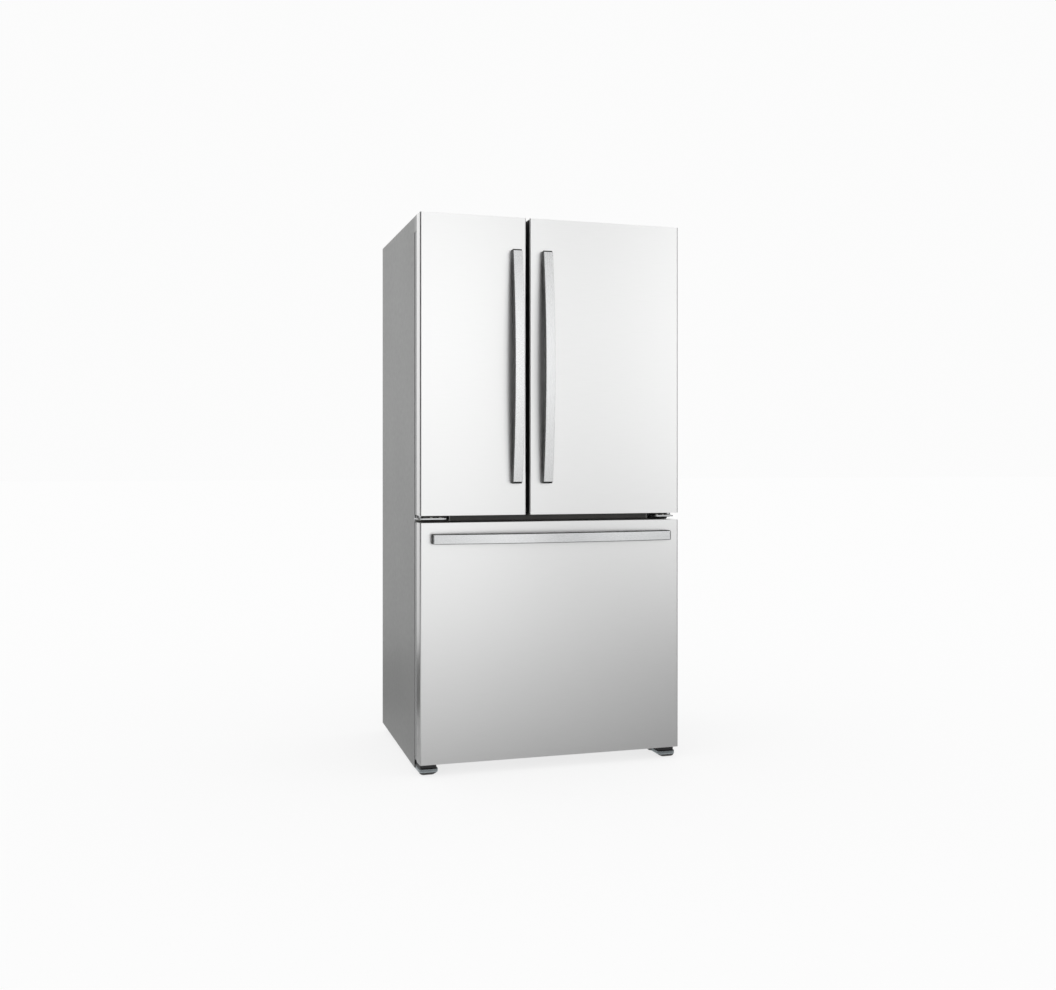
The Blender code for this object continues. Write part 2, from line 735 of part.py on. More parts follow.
def crisper(side, word):
    """A vegetable drawer that slides on the floor of the refrigerator."""
    near, far = sorted((side * 0.004, side * 0.362))
    low = (near, CRISPER_FRONT, FRIDGE_LOW + 0.0045)
    high = (far, FRIDGE_BACK - 0.040, CRISPER_HIGH)
    box = paint(tray(word + "_crisper", low, high, 0.003), *CLEAR)
    middle = (near + far) / 2
    grip_half, grip_depth = 0.060, 0.0015
    grip = cutter(
        (middle - grip_half, CRISPER_FRONT - CLEAR_OF, CRISPER_HIGH - 0.040),
        (middle + grip_half, CRISPER_FRONT + grip_depth, CRISPER_HIGH - 0.015),
    )
    cut(box, grip)
    carry(axis_empty(word + "_crisper_slide", (middle, CRISPER_FRONT, 0.90)), box)


def evaporator_cover():
    """The freezer's rear panel, with the fan's duct ring, spider and shaft."""
    front = EVAPORATOR_FRONT
    wall = 0.003
    half, low, high = 0.330, 0.320, 0.720
    cover = block("evaporator_cover", (-half, front, low), (half, FREEZER_BACK - 0.001, high))
    hollow = cutter((wall - half, front + wall, low + wall), (half - wall, BACK, high - wall))
    ring = guide_rod((0.0, front + 0.0175, FAN_HEIGHT), 0.060, 0.035, "Y", 32)
    bore = guide_rod((0.0, front + 0.010, FAN_HEIGHT), 0.056, 0.080, "Y", 32)
    bar = block(
        "bar",
        (-0.058, front + 0.029, FAN_HEIGHT - 0.006),
        (0.058, front + 0.034, FAN_HEIGHT + 0.006),
        CUTTERS,
    )
    shaft = guide_rod((0.0, front + 0.020, FAN_HEIGHT), 0.003, 0.022, "Y", 12)
    cut(cover, hollow)
    unite(cover, ring)
    cut(cover, bore)
    unite(cover, bar, shaft)
    vents = []
    for side in (-1, 1):
        for row in range(4):
            level = 0.370 + row * 0.030
            vent_low = (side * 0.080, front - CLEAR_OF, level)
            vents.append(cutter(vent_low, (side * 0.270, front + CLEAR_OF, level + 0.010)))
    return paint(cut(cover, *vents), *WHITE_PLASTIC)


def evaporator_fan():
    """Five pitched blades on a hub that turns on the cover's shaft."""
    centre = Vector((0.0, EVAPORATOR_FRONT + 0.0165, FAN_HEIGHT))
    fan = rod("evaporator_fan", centre, 0.014, 0.016, "Y", 20)
    half_sheet, half_chord, root = 0.0009, 0.011, 0.010
    pitch = Matrix.Rotation(math.radians(62), 4, "X")
    blades = []
    for number in range(FAN_BLADES):
        blade = block(
            "blade", (root, -half_sheet, -half_chord), (FAN_RADIUS, half_sheet, half_chord), CUTTERS
        )
        middle = Matrix.Translation(blade.location)
        spin = Matrix.Rotation(2 * math.pi * number / FAN_BLADES, 4, "Y")
        blade.matrix_world = Matrix.Translation(centre) @ spin @ middle @ pitch
        blades.append(blade)
    unite(fan, *blades)
    cut(fan, guide_rod(centre, 0.004, 0.06, "Y", 16))
    paint(fan, *DARK_PLASTIC)
    carry(axis_empty("fan_axis", centre), fan)


def drawer_rail(side, word):
    """The channel on the freezer's wall that the drawer's runner slides in."""
    outer, web, inner = side * (INNER_HALF - GAP), side * (INNER_HALF - 0.0022), side * 0.348
    front, back, sheet = FRONT + 0.100, FRONT + 0.556, 0.002
    channel = block(word + "_drawer_rail", (outer, front, CHANNEL_LOW), (inner, back, CHANNEL_HIGH))
    groove = cutter(
        (web, front - CLEAR_OF, CHANNEL_LOW + sheet), (side * 0.340, back + CLEAR_OF, CHANNEL_HIGH - sheet)
    )
    return paint(cut(channel, groove), *GALVANISED)


# --- Doors ---------------------------------------------------------------------------------------


def skin(name, near, far, low, high):
    """A folded steel pan: the front and four returns, with rounded upright corners."""
    pan = block(name, (near, FRONT, low), (far, FRONT + SKIN_DEPTH, high))
    round_front(pan, CORNER_RADIUS, CORNER_STEPS)
    left, right = min(near, far) + SHEET, max(near, far) - SHEET
    inside = cutter((left, FRONT + SHEET, low + SHEET), (right, FRONT + DOOR_DEPTH, high - SHEET))
    round_front(inside, CORNER_RADIUS - SHEET, CORNER_STEPS)
    return paint(cut(pan, inside), *STAINLESS)


def foamed_panel(name, near, far, low, high):
    """The moulded inner panel with the foam that fills the pan in front of it, as one solid."""
    left, right = min(near, far), max(near, far)
    inset = SHEET + GAP
    slab = block(name, (left + 0.001, PANEL_FRONT, low), (right - 0.001, PANEL_BACK, high))
    core_low, core_high = (left + inset, FRONT + inset, low), (right - inset, PANEL_FRONT + 0.0005, high)
    core = block("core", core_low, core_high, CUTTERS)
    round_front(core, CORNER_RADIUS, CORNER_STEPS)
    return paint(unite(slab, core), *WHITE_PLASTIC)


def gasket(name, near, far, low, high):
    """The magnetic seal on the inner panel: a rectangular ring."""
    back = PANEL_BACK + GAP
    ring = block(name, (near, back, low), (far, back + GASKET_DEPTH, high))
    left, right = min(near, far) + GASKET_WIDTH, max(near, far) - GASKET_WIDTH
    hole = cutter(
        (left, back - CLEAR_OF, low + GASKET_WIDTH),
        (right, back + GASKET_DEPTH + CLEAR_OF, high - GASKET_WIDTH),
    )
    return paint(cut(ring, hole), *RUBBER)


def door_handle(name, middle_x):
    turn = Matrix(((0, 0, 1), (0, -1, 0), (1, 0, 0)))
    middle_z = (HANDLE_LOW + HANDLE_HIGH) / 2
    bar = outline_solid(
        name, bow_outline(HANDLE_HIGH - HANDLE_LOW), HANDLE_WIDTH, turn, (middle_x, FRONT, middle_z)
    )
    return paint(soften(bar, 0.002), *ALUMINIUM)


def door_bin(name, side, width, low, high):
    near, far = sorted(across(side, HINGE_RIB[1] + GAP, width - FREE_RIB[0] - GAP))
    return paint(tray(name, (near, PANEL_BACK + GAP, low), (far, BIN_BACK, high), 0.0025), *CLEAR)


def door_panel(side, word, width):
    """A door's inner panel, with its two upright ribs, the hinge's notch and the pins' bores."""
    near, far = across(side, 0.0, width)
    low, high = DOOR_LOW + CAP_HEIGHT + GAP, DOOR_HIGH - CAP_HEIGHT - GAP
    panel = foamed_panel(word + "_door_inner_panel", near, far, low, high)
    for rib in (HINGE_RIB, (width - FREE_RIB[0], width - FREE_RIB[1])):
        a, b = across(side, *rib)
        unite(panel, block("rib", (a, PANEL_BACK - 0.001, RIB_LOW), (b, RIB_BACK, RIB_HIGH), CUTTERS))
    a, b = across(side, -CLEAR_OF, NOTCH_WIDTH)
    cut(
        panel,
        cutter((a, PANEL_FRONT - 0.0001, NOTCH_FLOOR), (b, RIB_BACK + CLEAR_OF, DOOR_HIGH + CLEAR_OF)),
        guide_rod((hinge_x(side), HINGE_Y, NOTCH_FLOOR - 0.005), PIN_BORE, 0.036),
        guide_rod((hinge_x(side), HINGE_Y, DOOR_LOW + 0.016), PIN_BORE, 0.034),
    )
    return panel


def door_caps(side, word, width):
    """The plastic caps that close a door at its foot and its top, behind the skin."""
    a, b = across(side, 0.001, width - 0.001)
    foot_high = DOOR_LOW + CAP_HEIGHT
    foot = block(word + "_door_bottom_cap", (a, PANEL_FRONT, DOOR_LOW), (b, PANEL_BACK, foot_high))
    place = (hinge_x(side), HINGE_Y, DOOR_LOW)
    cut(foot, guide_rod(place, 0.0095, 0.004), guide_rod(place, PIN_BORE, 0.04))
    a, b = across(side, NOTCH_WIDTH + 0.0015, width - 0.001)
    cap_low = DOOR_HIGH - CAP_HEIGHT
    cap = block(word + "_door_top_cap", (a, PANEL_FRONT, cap_low), (b, PANEL_BACK, DOOR_HIGH))
    for piece in (foot, cap):
        paint(piece, *GREY_PLASTIC)
    return foot, cap


def door(side, word, width):
    """What both upper doors have. Returns the door's empty, its inner panel and its other pieces."""
    near, far = across(side, 0.0, width)
    empty = axis_empty(word + "_door_axis", (hinge_x(side), HINGE_Y, DOOR_LOW))
    shell = skin(word + "_door_skin", near, far, DOOR_LOW, DOOR_HIGH)
    panel = door_panel(side, word, width)
    a, b = across(side, 0.016, width - 0.004)
    seal = gasket(word + "_door_gasket", a, b, DOOR_LOW + 0.0045, NOTCH_FLOOR - 0.002)
    return empty, panel, [shell, panel, seal, *door_caps(side, word, width)]


def left_door():
    empty, panel, pieces = door(-1, "left", LEFT_DOOR_WIDTH)
    free = -WIDTH / 2 + LEFT_DOOR_WIDTH
    pieces.append(door_handle("left_door_handle", free - 0.019 - HANDLE_WIDTH / 2))
    pieces.append(door_bin("left_upper_bin", -1, LEFT_DOOR_WIDTH, 1.360, 1.460))
    pieces.append(door_bin("left_lower_bin", -1, LEFT_DOOR_WIDTH, 1.020, 1.140))
    x, y = free - 0.025, FRONT + 0.1005
    half, height = 0.0075, 0.008
    for low in (0.820, 1.604):
        lug = block("lug", (x - half, PANEL_BACK - 0.001, low), (x + half, y + half, low + height), CUTTERS)
        unite(panel, lug)
        cut(panel, guide_rod((x, y, low + height / 2), 0.0032, 0.03, sides=16))
    carry(empty, *pieces)
    mullion_flap(x, y)


def mullion_flap(x, y):
    """The upright flap that closes the gap between the two doors, on two pins at this x and y."""
    bar = block("mullion_flap", (x - 0.0035, y - 0.007, 0.830), (x + 0.031, y + 0.007, 1.602))
    pins = [guide_rod((x, y, level), 0.0025, 0.012, sides=16) for level in (0.8265, 1.6055)]
    paint(unite(bar, *pins), *GREY_PLASTIC)
    carry(axis_empty("flap_axis", (x, y, 1.2)), bar)


def right_door():
    empty, _, pieces = door(1, "right", RIGHT_DOOR_WIDTH)
    free = WIDTH / 2 - RIGHT_DOOR_WIDTH
    pieces.append(door_handle("right_door_handle", free + 0.0375 + HANDLE_WIDTH / 2))
    pieces.append(door_bin("dairy_bin", 1, RIGHT_DOOR_WIDTH, 1.360, DAIRY_TOP))
    pieces.append(door_bin("right_lower_bin", 1, RIGHT_DOOR_WIDTH, 1.020, 1.140))
    carry(empty, *pieces)
    dairy_lid()


def dairy_lid():
    """The lid of the covered bin, which lifts about a knuckle beside the door."""
    near, far = across(1, HINGE_RIB[1] + 0.0010, RIGHT_DOOR_WIDTH - FREE_RIB[0] - 0.0010)
    y, z = FRONT + 0.0835, DAIRY_TOP + 0.0075
    middle = (near + far) / 2
    lid = block("dairy_lid", (near, y - 0.0045, z - 0.005), (far, BIN_BACK + 0.002, z - 0.002))
    knuckle = guide_rod((middle, y, z), 0.004, abs(far - near), "X", 16)
    rim = block("rim", (near, BIN_BACK + 0.0005, z - 0.019), (far, BIN_BACK + 0.003, z - 0.0025), CUTTERS)
    paint(unite(lid, knuckle, rim), *CLEAR)
    carry(axis_empty("dairy_axis", (middle, y, z)), lid)


# --- Freezer drawer ------------------------------------------------------------------------------


def drawer_side(side, word):
    """A side of the drawer: the plate, the runner in the cabinet's channel, the tray's ledge."""
    inner, outer = SIDE_PLATE
    front = PANEL_BACK + GAP
    plate = block(word + "_drawer_side", (side * inner, front, 0.345), (side * outer, FRONT + 0.505, 0.500))
    runner = block(
        "runner", (side * (outer - 0.001), front, 0.352), (side * 0.3655, FRONT + 0.530, 0.368), CUTTERS
    )
    shelf = block(
        "shelf",
        (side * 0.330, FRONT + 0.083, TRAY_LOW - 0.0055),
        (side * (inner + 0.001), FRONT + 0.500, TRAY_LOW - 0.001),
        CUTTERS,
    )
    return paint(unite(plate, runner, shelf), *GALVANISED)


def drawer():
    """The drawer's front with its handle, its sides and its basket, and the tray that slides on them."""
    half = WIDTH / 2
    pieces = [skin("drawer_skin", -half, half, DRAWER_LOW, DRAWER_HIGH)]
    inset = 0.0015
    pieces.append(foamed_panel("drawer_inner_panel", -half, half, DRAWER_LOW + inset, DRAWER_HIGH - inset))
    pieces.append(gasket("drawer_gasket", 0.016 - half, half - 0.016, 0.055, DRAWER_HIGH - 0.006))
    turn = Matrix(((1, 0, 0), (0, -1, 0), (0, 0, -1)))
    middle = (DRAWER_HANDLE_LOW + DRAWER_HANDLE_HIGH) / 2
    height = DRAWER_HANDLE_HIGH - DRAWER_HANDLE_LOW
    line = bow_outline(WIDTH - 2 * DRAWER_HANDLE_INSET)
    bar = outline_solid("drawer_handle", line, height, turn, (0.0, FRONT, middle))
    pieces.append(paint(soften(bar, 0.002), *ALUMINIUM))
    pieces += [drawer_side(-1, "left"), drawer_side(1, "right")]
    basket = tray("freezer_basket", (-0.334, FRONT + 0.0775, 0.105), (0.334, FRONT + 0.385, 0.335), 0.003)
    pieces.append(paint(basket, *WHITE_PLASTIC))
    carry(axis_empty("drawer_slide", (0.0, FRONT, 0.36)), *pieces)
    tray_front = FRONT + 0.085
    upper = tray("freezer_tray", (-0.338, tray_front, TRAY_LOW), (0.338, FRONT + 0.300, 0.590), 0.003)
    paint(upper, *WHITE_PLASTIC)
    carry(axis_empty("tray_slide", (0.0, tray_front, 0.54)), upper)


def main():
    clear_scene()
    make_collections()
    for make in (
        outer_case, back_panel, cabinet_foam, fridge_liner, freezer_liner, mid_rail, mid_trim, base_frame,
        compressor, machine_cover, drip_tray, air_duct, control_panel, evaporator_cover, evaporator_fan,
    ):
        make()
    for side, word in ((-1, "left"), (1, "right")):
        for make in (
            top_hinge, hinge_cover, middle_hinge, foot_cover,
            levelling_foot, rear_roller, crisper, drawer_rail,
        ):
            make(side, word)
    glass_shelf("upper_shelf", UPPER_SHELF)
    glass_shelf("lower_shelf", LOWER_SHELF)
    glass_shelf("crisper_cover", CRISPER_COVER)
    left_door()
    right_door()
    drawer()


main()
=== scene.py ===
"""Looks of the French door refrigerator: finer pieces, materials, floor, light and camera.

Lengths are in metres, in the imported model's frame: +X right seen from the front, doors face -Y, +Z up.
"""

import math

import bmesh
import bpy
from mathutils import Matrix, Vector

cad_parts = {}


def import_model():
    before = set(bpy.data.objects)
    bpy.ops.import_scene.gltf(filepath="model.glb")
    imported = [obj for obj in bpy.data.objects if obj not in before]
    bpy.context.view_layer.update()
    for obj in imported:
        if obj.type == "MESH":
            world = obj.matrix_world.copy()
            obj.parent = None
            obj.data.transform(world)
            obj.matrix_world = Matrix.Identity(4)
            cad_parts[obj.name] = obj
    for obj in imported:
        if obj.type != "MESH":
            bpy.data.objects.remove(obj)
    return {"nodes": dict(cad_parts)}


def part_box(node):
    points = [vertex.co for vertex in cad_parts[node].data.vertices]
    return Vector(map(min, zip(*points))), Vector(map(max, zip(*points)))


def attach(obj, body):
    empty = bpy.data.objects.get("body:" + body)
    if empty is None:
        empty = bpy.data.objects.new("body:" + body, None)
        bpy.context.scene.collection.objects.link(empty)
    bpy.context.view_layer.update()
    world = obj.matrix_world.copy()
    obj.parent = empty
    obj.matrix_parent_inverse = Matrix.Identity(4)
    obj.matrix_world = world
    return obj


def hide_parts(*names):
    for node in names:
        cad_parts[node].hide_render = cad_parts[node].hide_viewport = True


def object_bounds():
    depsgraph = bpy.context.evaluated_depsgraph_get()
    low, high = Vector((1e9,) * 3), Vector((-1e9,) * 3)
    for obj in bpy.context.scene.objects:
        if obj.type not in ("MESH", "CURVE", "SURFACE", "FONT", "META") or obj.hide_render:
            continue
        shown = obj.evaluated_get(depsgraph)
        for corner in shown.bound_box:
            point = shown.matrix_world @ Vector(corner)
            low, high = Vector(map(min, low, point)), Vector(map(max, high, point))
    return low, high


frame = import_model()
CAD_LOW, CAD_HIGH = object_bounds()

X, Y, Z = Vector((1, 0, 0)), Vector((0, 1, 0)), Vector((0, 0, 1))
SKIN_LOW, SKIN_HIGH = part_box("right_door_skin")
FRONT = SKIN_LOW.y  # the plane of the doors' front faces
BACK = CAD_HIGH.y
PANEL_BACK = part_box("right_door_bottom_cap")[1].y  # rear face of the doors' inner panels
SIDES = ((-1, "left"), (1, "right"))


# --- Materials -----------------------------------------------------------------------------------

BRUSH_SCALE = 1300.0
EDGE_DEPTH = 0.0004  # the door panels turn from grey to white over this depth at their rear face


class Finish:
    """A material being put together: object coordinates go in, one Principled shader comes out."""

    def __init__(self, name, colour, roughness, metallic=0.0, **sockets):
        self.material = bpy.data.materials.new(name)
        self.material.use_nodes = True
        self.tree = self.material.node_tree
        self.shader = self.tree.nodes["Principled BSDF"]
        self.place = self.node("ShaderNodeTexCoord").outputs["Object"]
        self.shader.inputs["Base Color"].default_value = (*colour, 1.0)
        self.shader.inputs["Roughness"].default_value = roughness
        self.shader.inputs["Metallic"].default_value = metallic
        for socket, value in sockets.items():
            self.shader.inputs[socket.replace("_", " ")].default_value = value

    def node(self, kind, **inputs):
        """Adds a node. Each input takes a value, or a link where it is given another node's output."""
        new = self.tree.nodes.new(kind)
        for name, value in inputs.items():
            socket = new.inputs[name.replace("_", " ")]
            if isinstance(value, bpy.types.NodeSocket):
                self.link(value, socket)
            else:
                socket.default_value = value
        return new

    def link(self, source, target):
        self.tree.links.new(source, target)

    def noise(self, scale, detail=2.0, stretch=(1.0, 1.0, 1.0)):
        """A noise from 0 to 1. A stretch below 1 draws it out along that axis."""
        place = self.node("ShaderNodeMapping", Vector=self.place, Scale=stretch).outputs["Vector"]
        return self.node("ShaderNodeTexNoise", Vector=place, Scale=scale, Detail=detail).outputs["Fac"]

    def cells(self, scale):
        """Distance to the nearest point of a random pattern, for pebbled surfaces."""
        return self.node("ShaderNodeTexVoronoi", Vector=self.place, Scale=scale).outputs["Distance"]

    def remap(self, source, low, high, start=0.3, end=0.7):
        limits = {"From_Min": start, "From_Max": end, "To_Min": low, "To_Max": high}
        return self.node("ShaderNodeMapRange", Value=source, **limits).outputs["Result"]

    def height(self, axis):
        """The object coordinate along one axis."""
        return self.node("ShaderNodeSeparateXYZ", Vector=self.place).outputs[axis]

    def blend(self, factor, one, other):
        """Mixes two colours into the base colour."""
        mix = self.node("ShaderNodeMix")
        mix.data_type = "RGBA"
        mix.inputs["A"].default_value = (*one, 1.0)
        mix.inputs["B"].default_value = (*other, 1.0)
        self.link(factor, mix.inputs["Factor"])
        self.link(mix.outputs["Result"], self.shader.inputs["Base Color"])

    def rough(self, factor, low, high):
        self.link(self.remap(factor, low, high), self.shader.inputs["Roughness"])

    def bump(self, source, distance, strength):
        relief = self.node("ShaderNodeBump", Height=source, Distance=distance, Strength=strength)
        self.link(relief.outputs["Normal"], self.shader.inputs["Normal"])


def shade(colour, amount):
    return tuple(min(1.0, part * amount) for part in colour)


def brushed(name, colour, roughness, stretch, depth=0.00001, contrast=0.010):
    """Metal with fine brush lines. The stretch draws them out along the axis with the small number."""
    finish = Finish(name, colour, roughness, 1.0)
    lines = finish.noise(BRUSH_SCALE, 1.0, stretch)
    finish.blend(finish.remap(lines, 0.0, 1.0), shade(colour, 1 - contrast), shade(colour, 1 + contrast))
    finish.rough(lines, roughness - 0.02, roughness + 0.02)
    finish.bump(lines, depth, 0.25)
    return finish.material


def painted(name, colour, roughness, grain=1400.0, depth=0.00006):
    """Baked paint with a fine orange-peel surface and a faint change of tone."""
    finish = Finish(name, colour, roughness, Specular_IOR_Level=0.2)
    tone = finish.noise(3.0)
    finish.blend(finish.remap(tone, 0.0, 1.0), shade(colour, 0.97), shade(colour, 1.03))
    finish.rough(finish.noise(60.0), roughness - 0.04, roughness + 0.04)
    finish.bump(finish.cells(grain), depth, 0.4)
    return finish.material


def plastic(name, colour, roughness, grain=2500.0, depth=0.00003, **sockets):
    """Moulded plastic with a fine spark-eroded grain."""
    finish = Finish(name, colour, roughness, **sockets)
    finish.blend(finish.remap(finish.noise(9.0), 0.0, 1.0), shade(colour, 0.985), shade(colour, 1.01))
    finish.rough(finish.noise(40.0), roughness - 0.04, roughness + 0.04)
    finish.bump(finish.noise(grain), depth, 0.18)
    return finish.material


def see_through(name, colour, roughness, alpha, edge=(1.0, 1.0, 1.0)):
    """Clear plastic or glass. It is thin, so it is drawn as a tinted film over what is behind it."""
    finish = Finish(name, colour, roughness, Alpha=alpha, IOR=1.49, Specular_IOR_Level=0.6)
    finish.blend(finish.remap(finish.noise(6.0), 0.0, 1.0), colour, shade(edge, 0.97))
    finish.rough(finish.noise(25.0), max(0.02, roughness - 0.03), roughness + 0.04)
    finish.bump(finish.noise(120.0), 0.00002, 0.3)
    return finish.material


def door_panel_finish():
    """White liner behind, with the grey edge that shows between the steel skin and the gasket."""
    white, grey = (0.80, 0.81, 0.81), (0.27, 0.275, 0.275)
    finish = Finish("door_liner", white, 0.36, Specular_IOR_Level=0.15)
    step = finish.remap(finish.height("Y"), 0.0, 1.0, PANEL_BACK - 2 * EDGE_DEPTH, PANEL_BACK - EDGE_DEPTH)
    finish.blend(step, grey, white)
    finish.rough(finish.noise(40.0), 0.33, 0.42)
    finish.bump(finish.noise(2200.0), 0.00003, 0.18)
    return finish.material


STEEL = (0.87, 0.873, 0.87)
ACROSS, UPRIGHT = (0.012, 0.03, 1.0), (1.0, 0.03, 0.012)
skin_steel = brushed("skin_steel", STEEL, 0.30, ACROSS)
handle_upright = brushed("handle_upright", (0.84, 0.847, 0.85), 0.27, UPRIGHT)
# The drawer handle's aluminium is a darker copy of the door handles': painted shade.
shaded_handle_across = brushed("shaded_handle_across", (0.725, 0.735, 0.74), 0.26, ACROSS)
handle_back = plastic("handle_back", (0.014, 0.0145, 0.015), 0.42, Specular_IOR_Level=0.22)
case_paint = painted("case_paint", (0.235, 0.237, 0.235), 0.42)
cover_grey = plastic("cover_grey", (0.275, 0.278, 0.278), 0.42)
galvanised = brushed("galvanised", (0.56, 0.575, 0.59), 0.38, (1.0, 1.0, 0.3), 0.00005, 0.09)
hinge_steel = brushed("hinge_steel", (0.60, 0.61, 0.62), 0.24, (0.2, 1.0, 1.0), 0.00005, 0.10)
zinc = brushed("zinc", (0.70, 0.70, 0.66), 0.28, (1.0, 1.0, 1.0), 0.00004, 0.08)
liner_white = plastic("liner_white", (0.80, 0.81, 0.81), 0.30)
fitting_white = plastic("fitting_white", (0.76, 0.775, 0.785), 0.36)
door_liner = door_panel_finish()
black_plastic = plastic("black_plastic", (0.018, 0.018, 0.019), 0.36)
trim_brown = plastic("trim_brown", (0.042, 0.040, 0.036), 0.40)
foot_band = plastic("foot_band", (0.40, 0.44, 0.46), 0.26, Metallic=0.7)
rubber = plastic("rubber", (0.022, 0.022, 0.023), 0.66, 900.0, 0.00006, Specular_IOR_Level=0.3)
magnet_grey = plastic("magnet_grey", (0.30, 0.30, 0.29), 0.50)
foam_yellow = plastic("foam_yellow", (0.80, 0.70, 0.46), 0.85, 500.0, 0.0004)
shelf_glass = see_through("shelf_glass", (0.80, 0.90, 0.87), 0.04, 0.28, (0.70, 0.86, 0.82))
clear_plastic = see_through("clear_plastic", (0.86, 0.91, 0.94), 0.08, 0.30, (0.80, 0.87, 0.92))
clear_rim = see_through("clear_rim", (0.88, 0.93, 0.96), 0.12, 0.62, (0.82, 0.90, 0.95))
LAMP_GLOW = {"Emission_Color": (0.93, 0.97, 1.0, 1.0), "Emission_Strength": 0.35}
lamp_lens = plastic("lamp_lens", (0.95, 0.96, 0.98), 0.20, **LAMP_GLOW)
key_grey = plastic("key_grey", (0.45, 0.47, 0.49), 0.40)
compressor_black = painted("compressor_black", (0.012, 0.012, 0.013), 0.30)
copper = brushed("copper", (0.83, 0.42, 0.26), 0.26, (1.0, 1.0, 0.4), 0.00003, 0.08)


# --- Mesh tools ----------------------------------------------------------------------------------

SHARPEST_MITRE = 0.35  # keeps a swept section from growing without end at a tight corner
SUNK = 0.0003  # how far a raised detail starts below the surface that it stands on
CORNER_STEPS = 6


def add(name, data):
    """Puts a new object in the scene."""
    thing = bpy.data.objects.new(name, data)
    bpy.context.scene.collection.objects.link(thing)
    return thing


def piece(name, bm, body, finish, bevel=0.0, segments=2, stands_for=(), angle=35):
    """Makes a smooth-shaded piece that rides on a body. A bevel rounds its sharp edges."""
    bmesh.ops.recalc_face_normals(bm, faces=bm.faces)
    mesh = bpy.data.meshes.new(name)
    bm.to_mesh(mesh)
    bm.free()
    mesh.shade_smooth()
    mesh.set_sharp_from_angle(angle=math.radians(angle))
    mesh.materials.append(finish)
    thing = add(name, mesh)
    if bevel:
        round_over(thing, bevel, segments, angle)
    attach(thing, body)
    if stands_for:
        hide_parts(*stands_for)
    return thing


def round_over(thing, width, segments, angle):
    edge = thing.modifiers.new("edges", "BEVEL")
    edge.width = width
    edge.segments = segments
    edge.limit_method = "ANGLE"
    edge.angle_limit = math.radians(angle)
    edge.harden_normals = True
    edge.use_clamp_overlap = True


def dress(finish, *names, bevel=0.0, segments=2, angle=35):
    """Gives CAD nodes their material, and rounds their sharp edges where a bevel is given."""
    for name in names:
        node = frame["nodes"][name]
        for slot in node.material_slots:
            slot.material = finish
        if bevel:
            weld = node.modifiers.new("weld", "WELD")
            weld.merge_threshold = 0.00001
            round_over(node, bevel, segments, angle)


def box(bm, low, high):
    """Adds a box between two corners."""
    a, b = Vector(low), Vector(high)
    place = Matrix.Translation((a + b) / 2) @ Matrix.Diagonal((*(b - a), 1.0))
    return bmesh.ops.create_cube(bm, size=1.0, matrix=place)["verts"]


def blade(bm, low, high, pivot, degrees):
    """Adds a box between two corners, tilted about an X axis through the pivot."""
    turn = Matrix.Rotation(math.radians(degrees), 3, "X")
    bmesh.ops.rotate(bm, cent=pivot, matrix=turn, verts=box(bm, low, high))


def bridge(bm, rings):
    """Joins each ring of points to the next one with four-sided faces."""
    for low, high in zip(rings, rings[1:]):
        for i in range(len(low)):
            j = (i + 1) % len(low)
            bm.faces.new((low[i], low[j], high[j], high[i]))


def turns_of(sides):
    return [2 * math.pi * i / sides for i in range(sides)]


def ways_round(axis, sides):
    """Unit vectors all round an axis."""
    u = axis.orthogonal().normalized()
    v = axis.cross(u).normalized()
    return [u * math.cos(turn) + v * math.sin(turn) for turn in turns_of(sides)]


def lathe(bm, profile, centre, axis, sides=24):
    """Adds a turned solid. The profile's (radius, height) points run from the axis back to the axis."""
    rings = []
    for radius, height in profile:
        foot = Vector(centre) + axis * height
        ways = ways_round(axis, sides) if radius else [axis]
        rings.append([bm.verts.new(foot + way * radius) for way in ways])
    for low, high in zip(rings, rings[1:]):
        for i in range(sides):
            corners = [low[i % len(low)], low[(i + 1) % len(low)]]
            corners += [high[(i + 1) % len(high)], high[i % len(high)]]
            bm.faces.new(list(dict.fromkeys(corners)))  # a point on the axis gives a face with three corners


def turned_ring(bm, outline, centre, axis, sides=24):
    """Adds a ring: a closed outline of (radius, height) points turned about an axis."""
    rings = []
    for way in ways_round(axis, sides):
        rings.append([bm.verts.new(Vector(centre) + way * r + axis * h) for r, h in outline])
    bridge(bm, rings + rings[:1])


def screws(name, body, finish, axis, places, radius=0.004, rise=0.0016):
    """Domed screw heads with a recess in their middle, on a surface with this outward axis."""
    profile = [
        (0.0, -rise * 0.5), (radius, -rise * 0.5), (radius, rise * 0.35), (radius * 0.86, rise * 0.8),
        (radius * 0.55, rise), (radius * 0.34, rise), (radius * 0.28, rise * 0.1), (0.0, rise * 0.1),
    ]
    bm = bmesh.new()
    for place in places:
        lathe(bm, profile, place, axis, 14)
    piece(name, bm, body, finish)


def bolts(name, body, places, radius=0.0055, rise=0.0035):
    """Upright bolts, each with a washer under its six-sided head."""
    washer = radius * 1.45
    plate = [(0.0, -0.0005), (washer, -0.0005), (washer, 0.0008), (0.0, 0.0008)]
    head = [(0.0, 0.0007), (radius, 0.0007), (radius, rise * 0.8), (radius * 0.82, rise), (0.0, rise)]
    bm = bmesh.new()
    for place in places:
        lathe(bm, plate, place, Z, 20)
        lathe(bm, head, place, Z, 6)
    piece(name, bm, body, zinc, 0.0003)


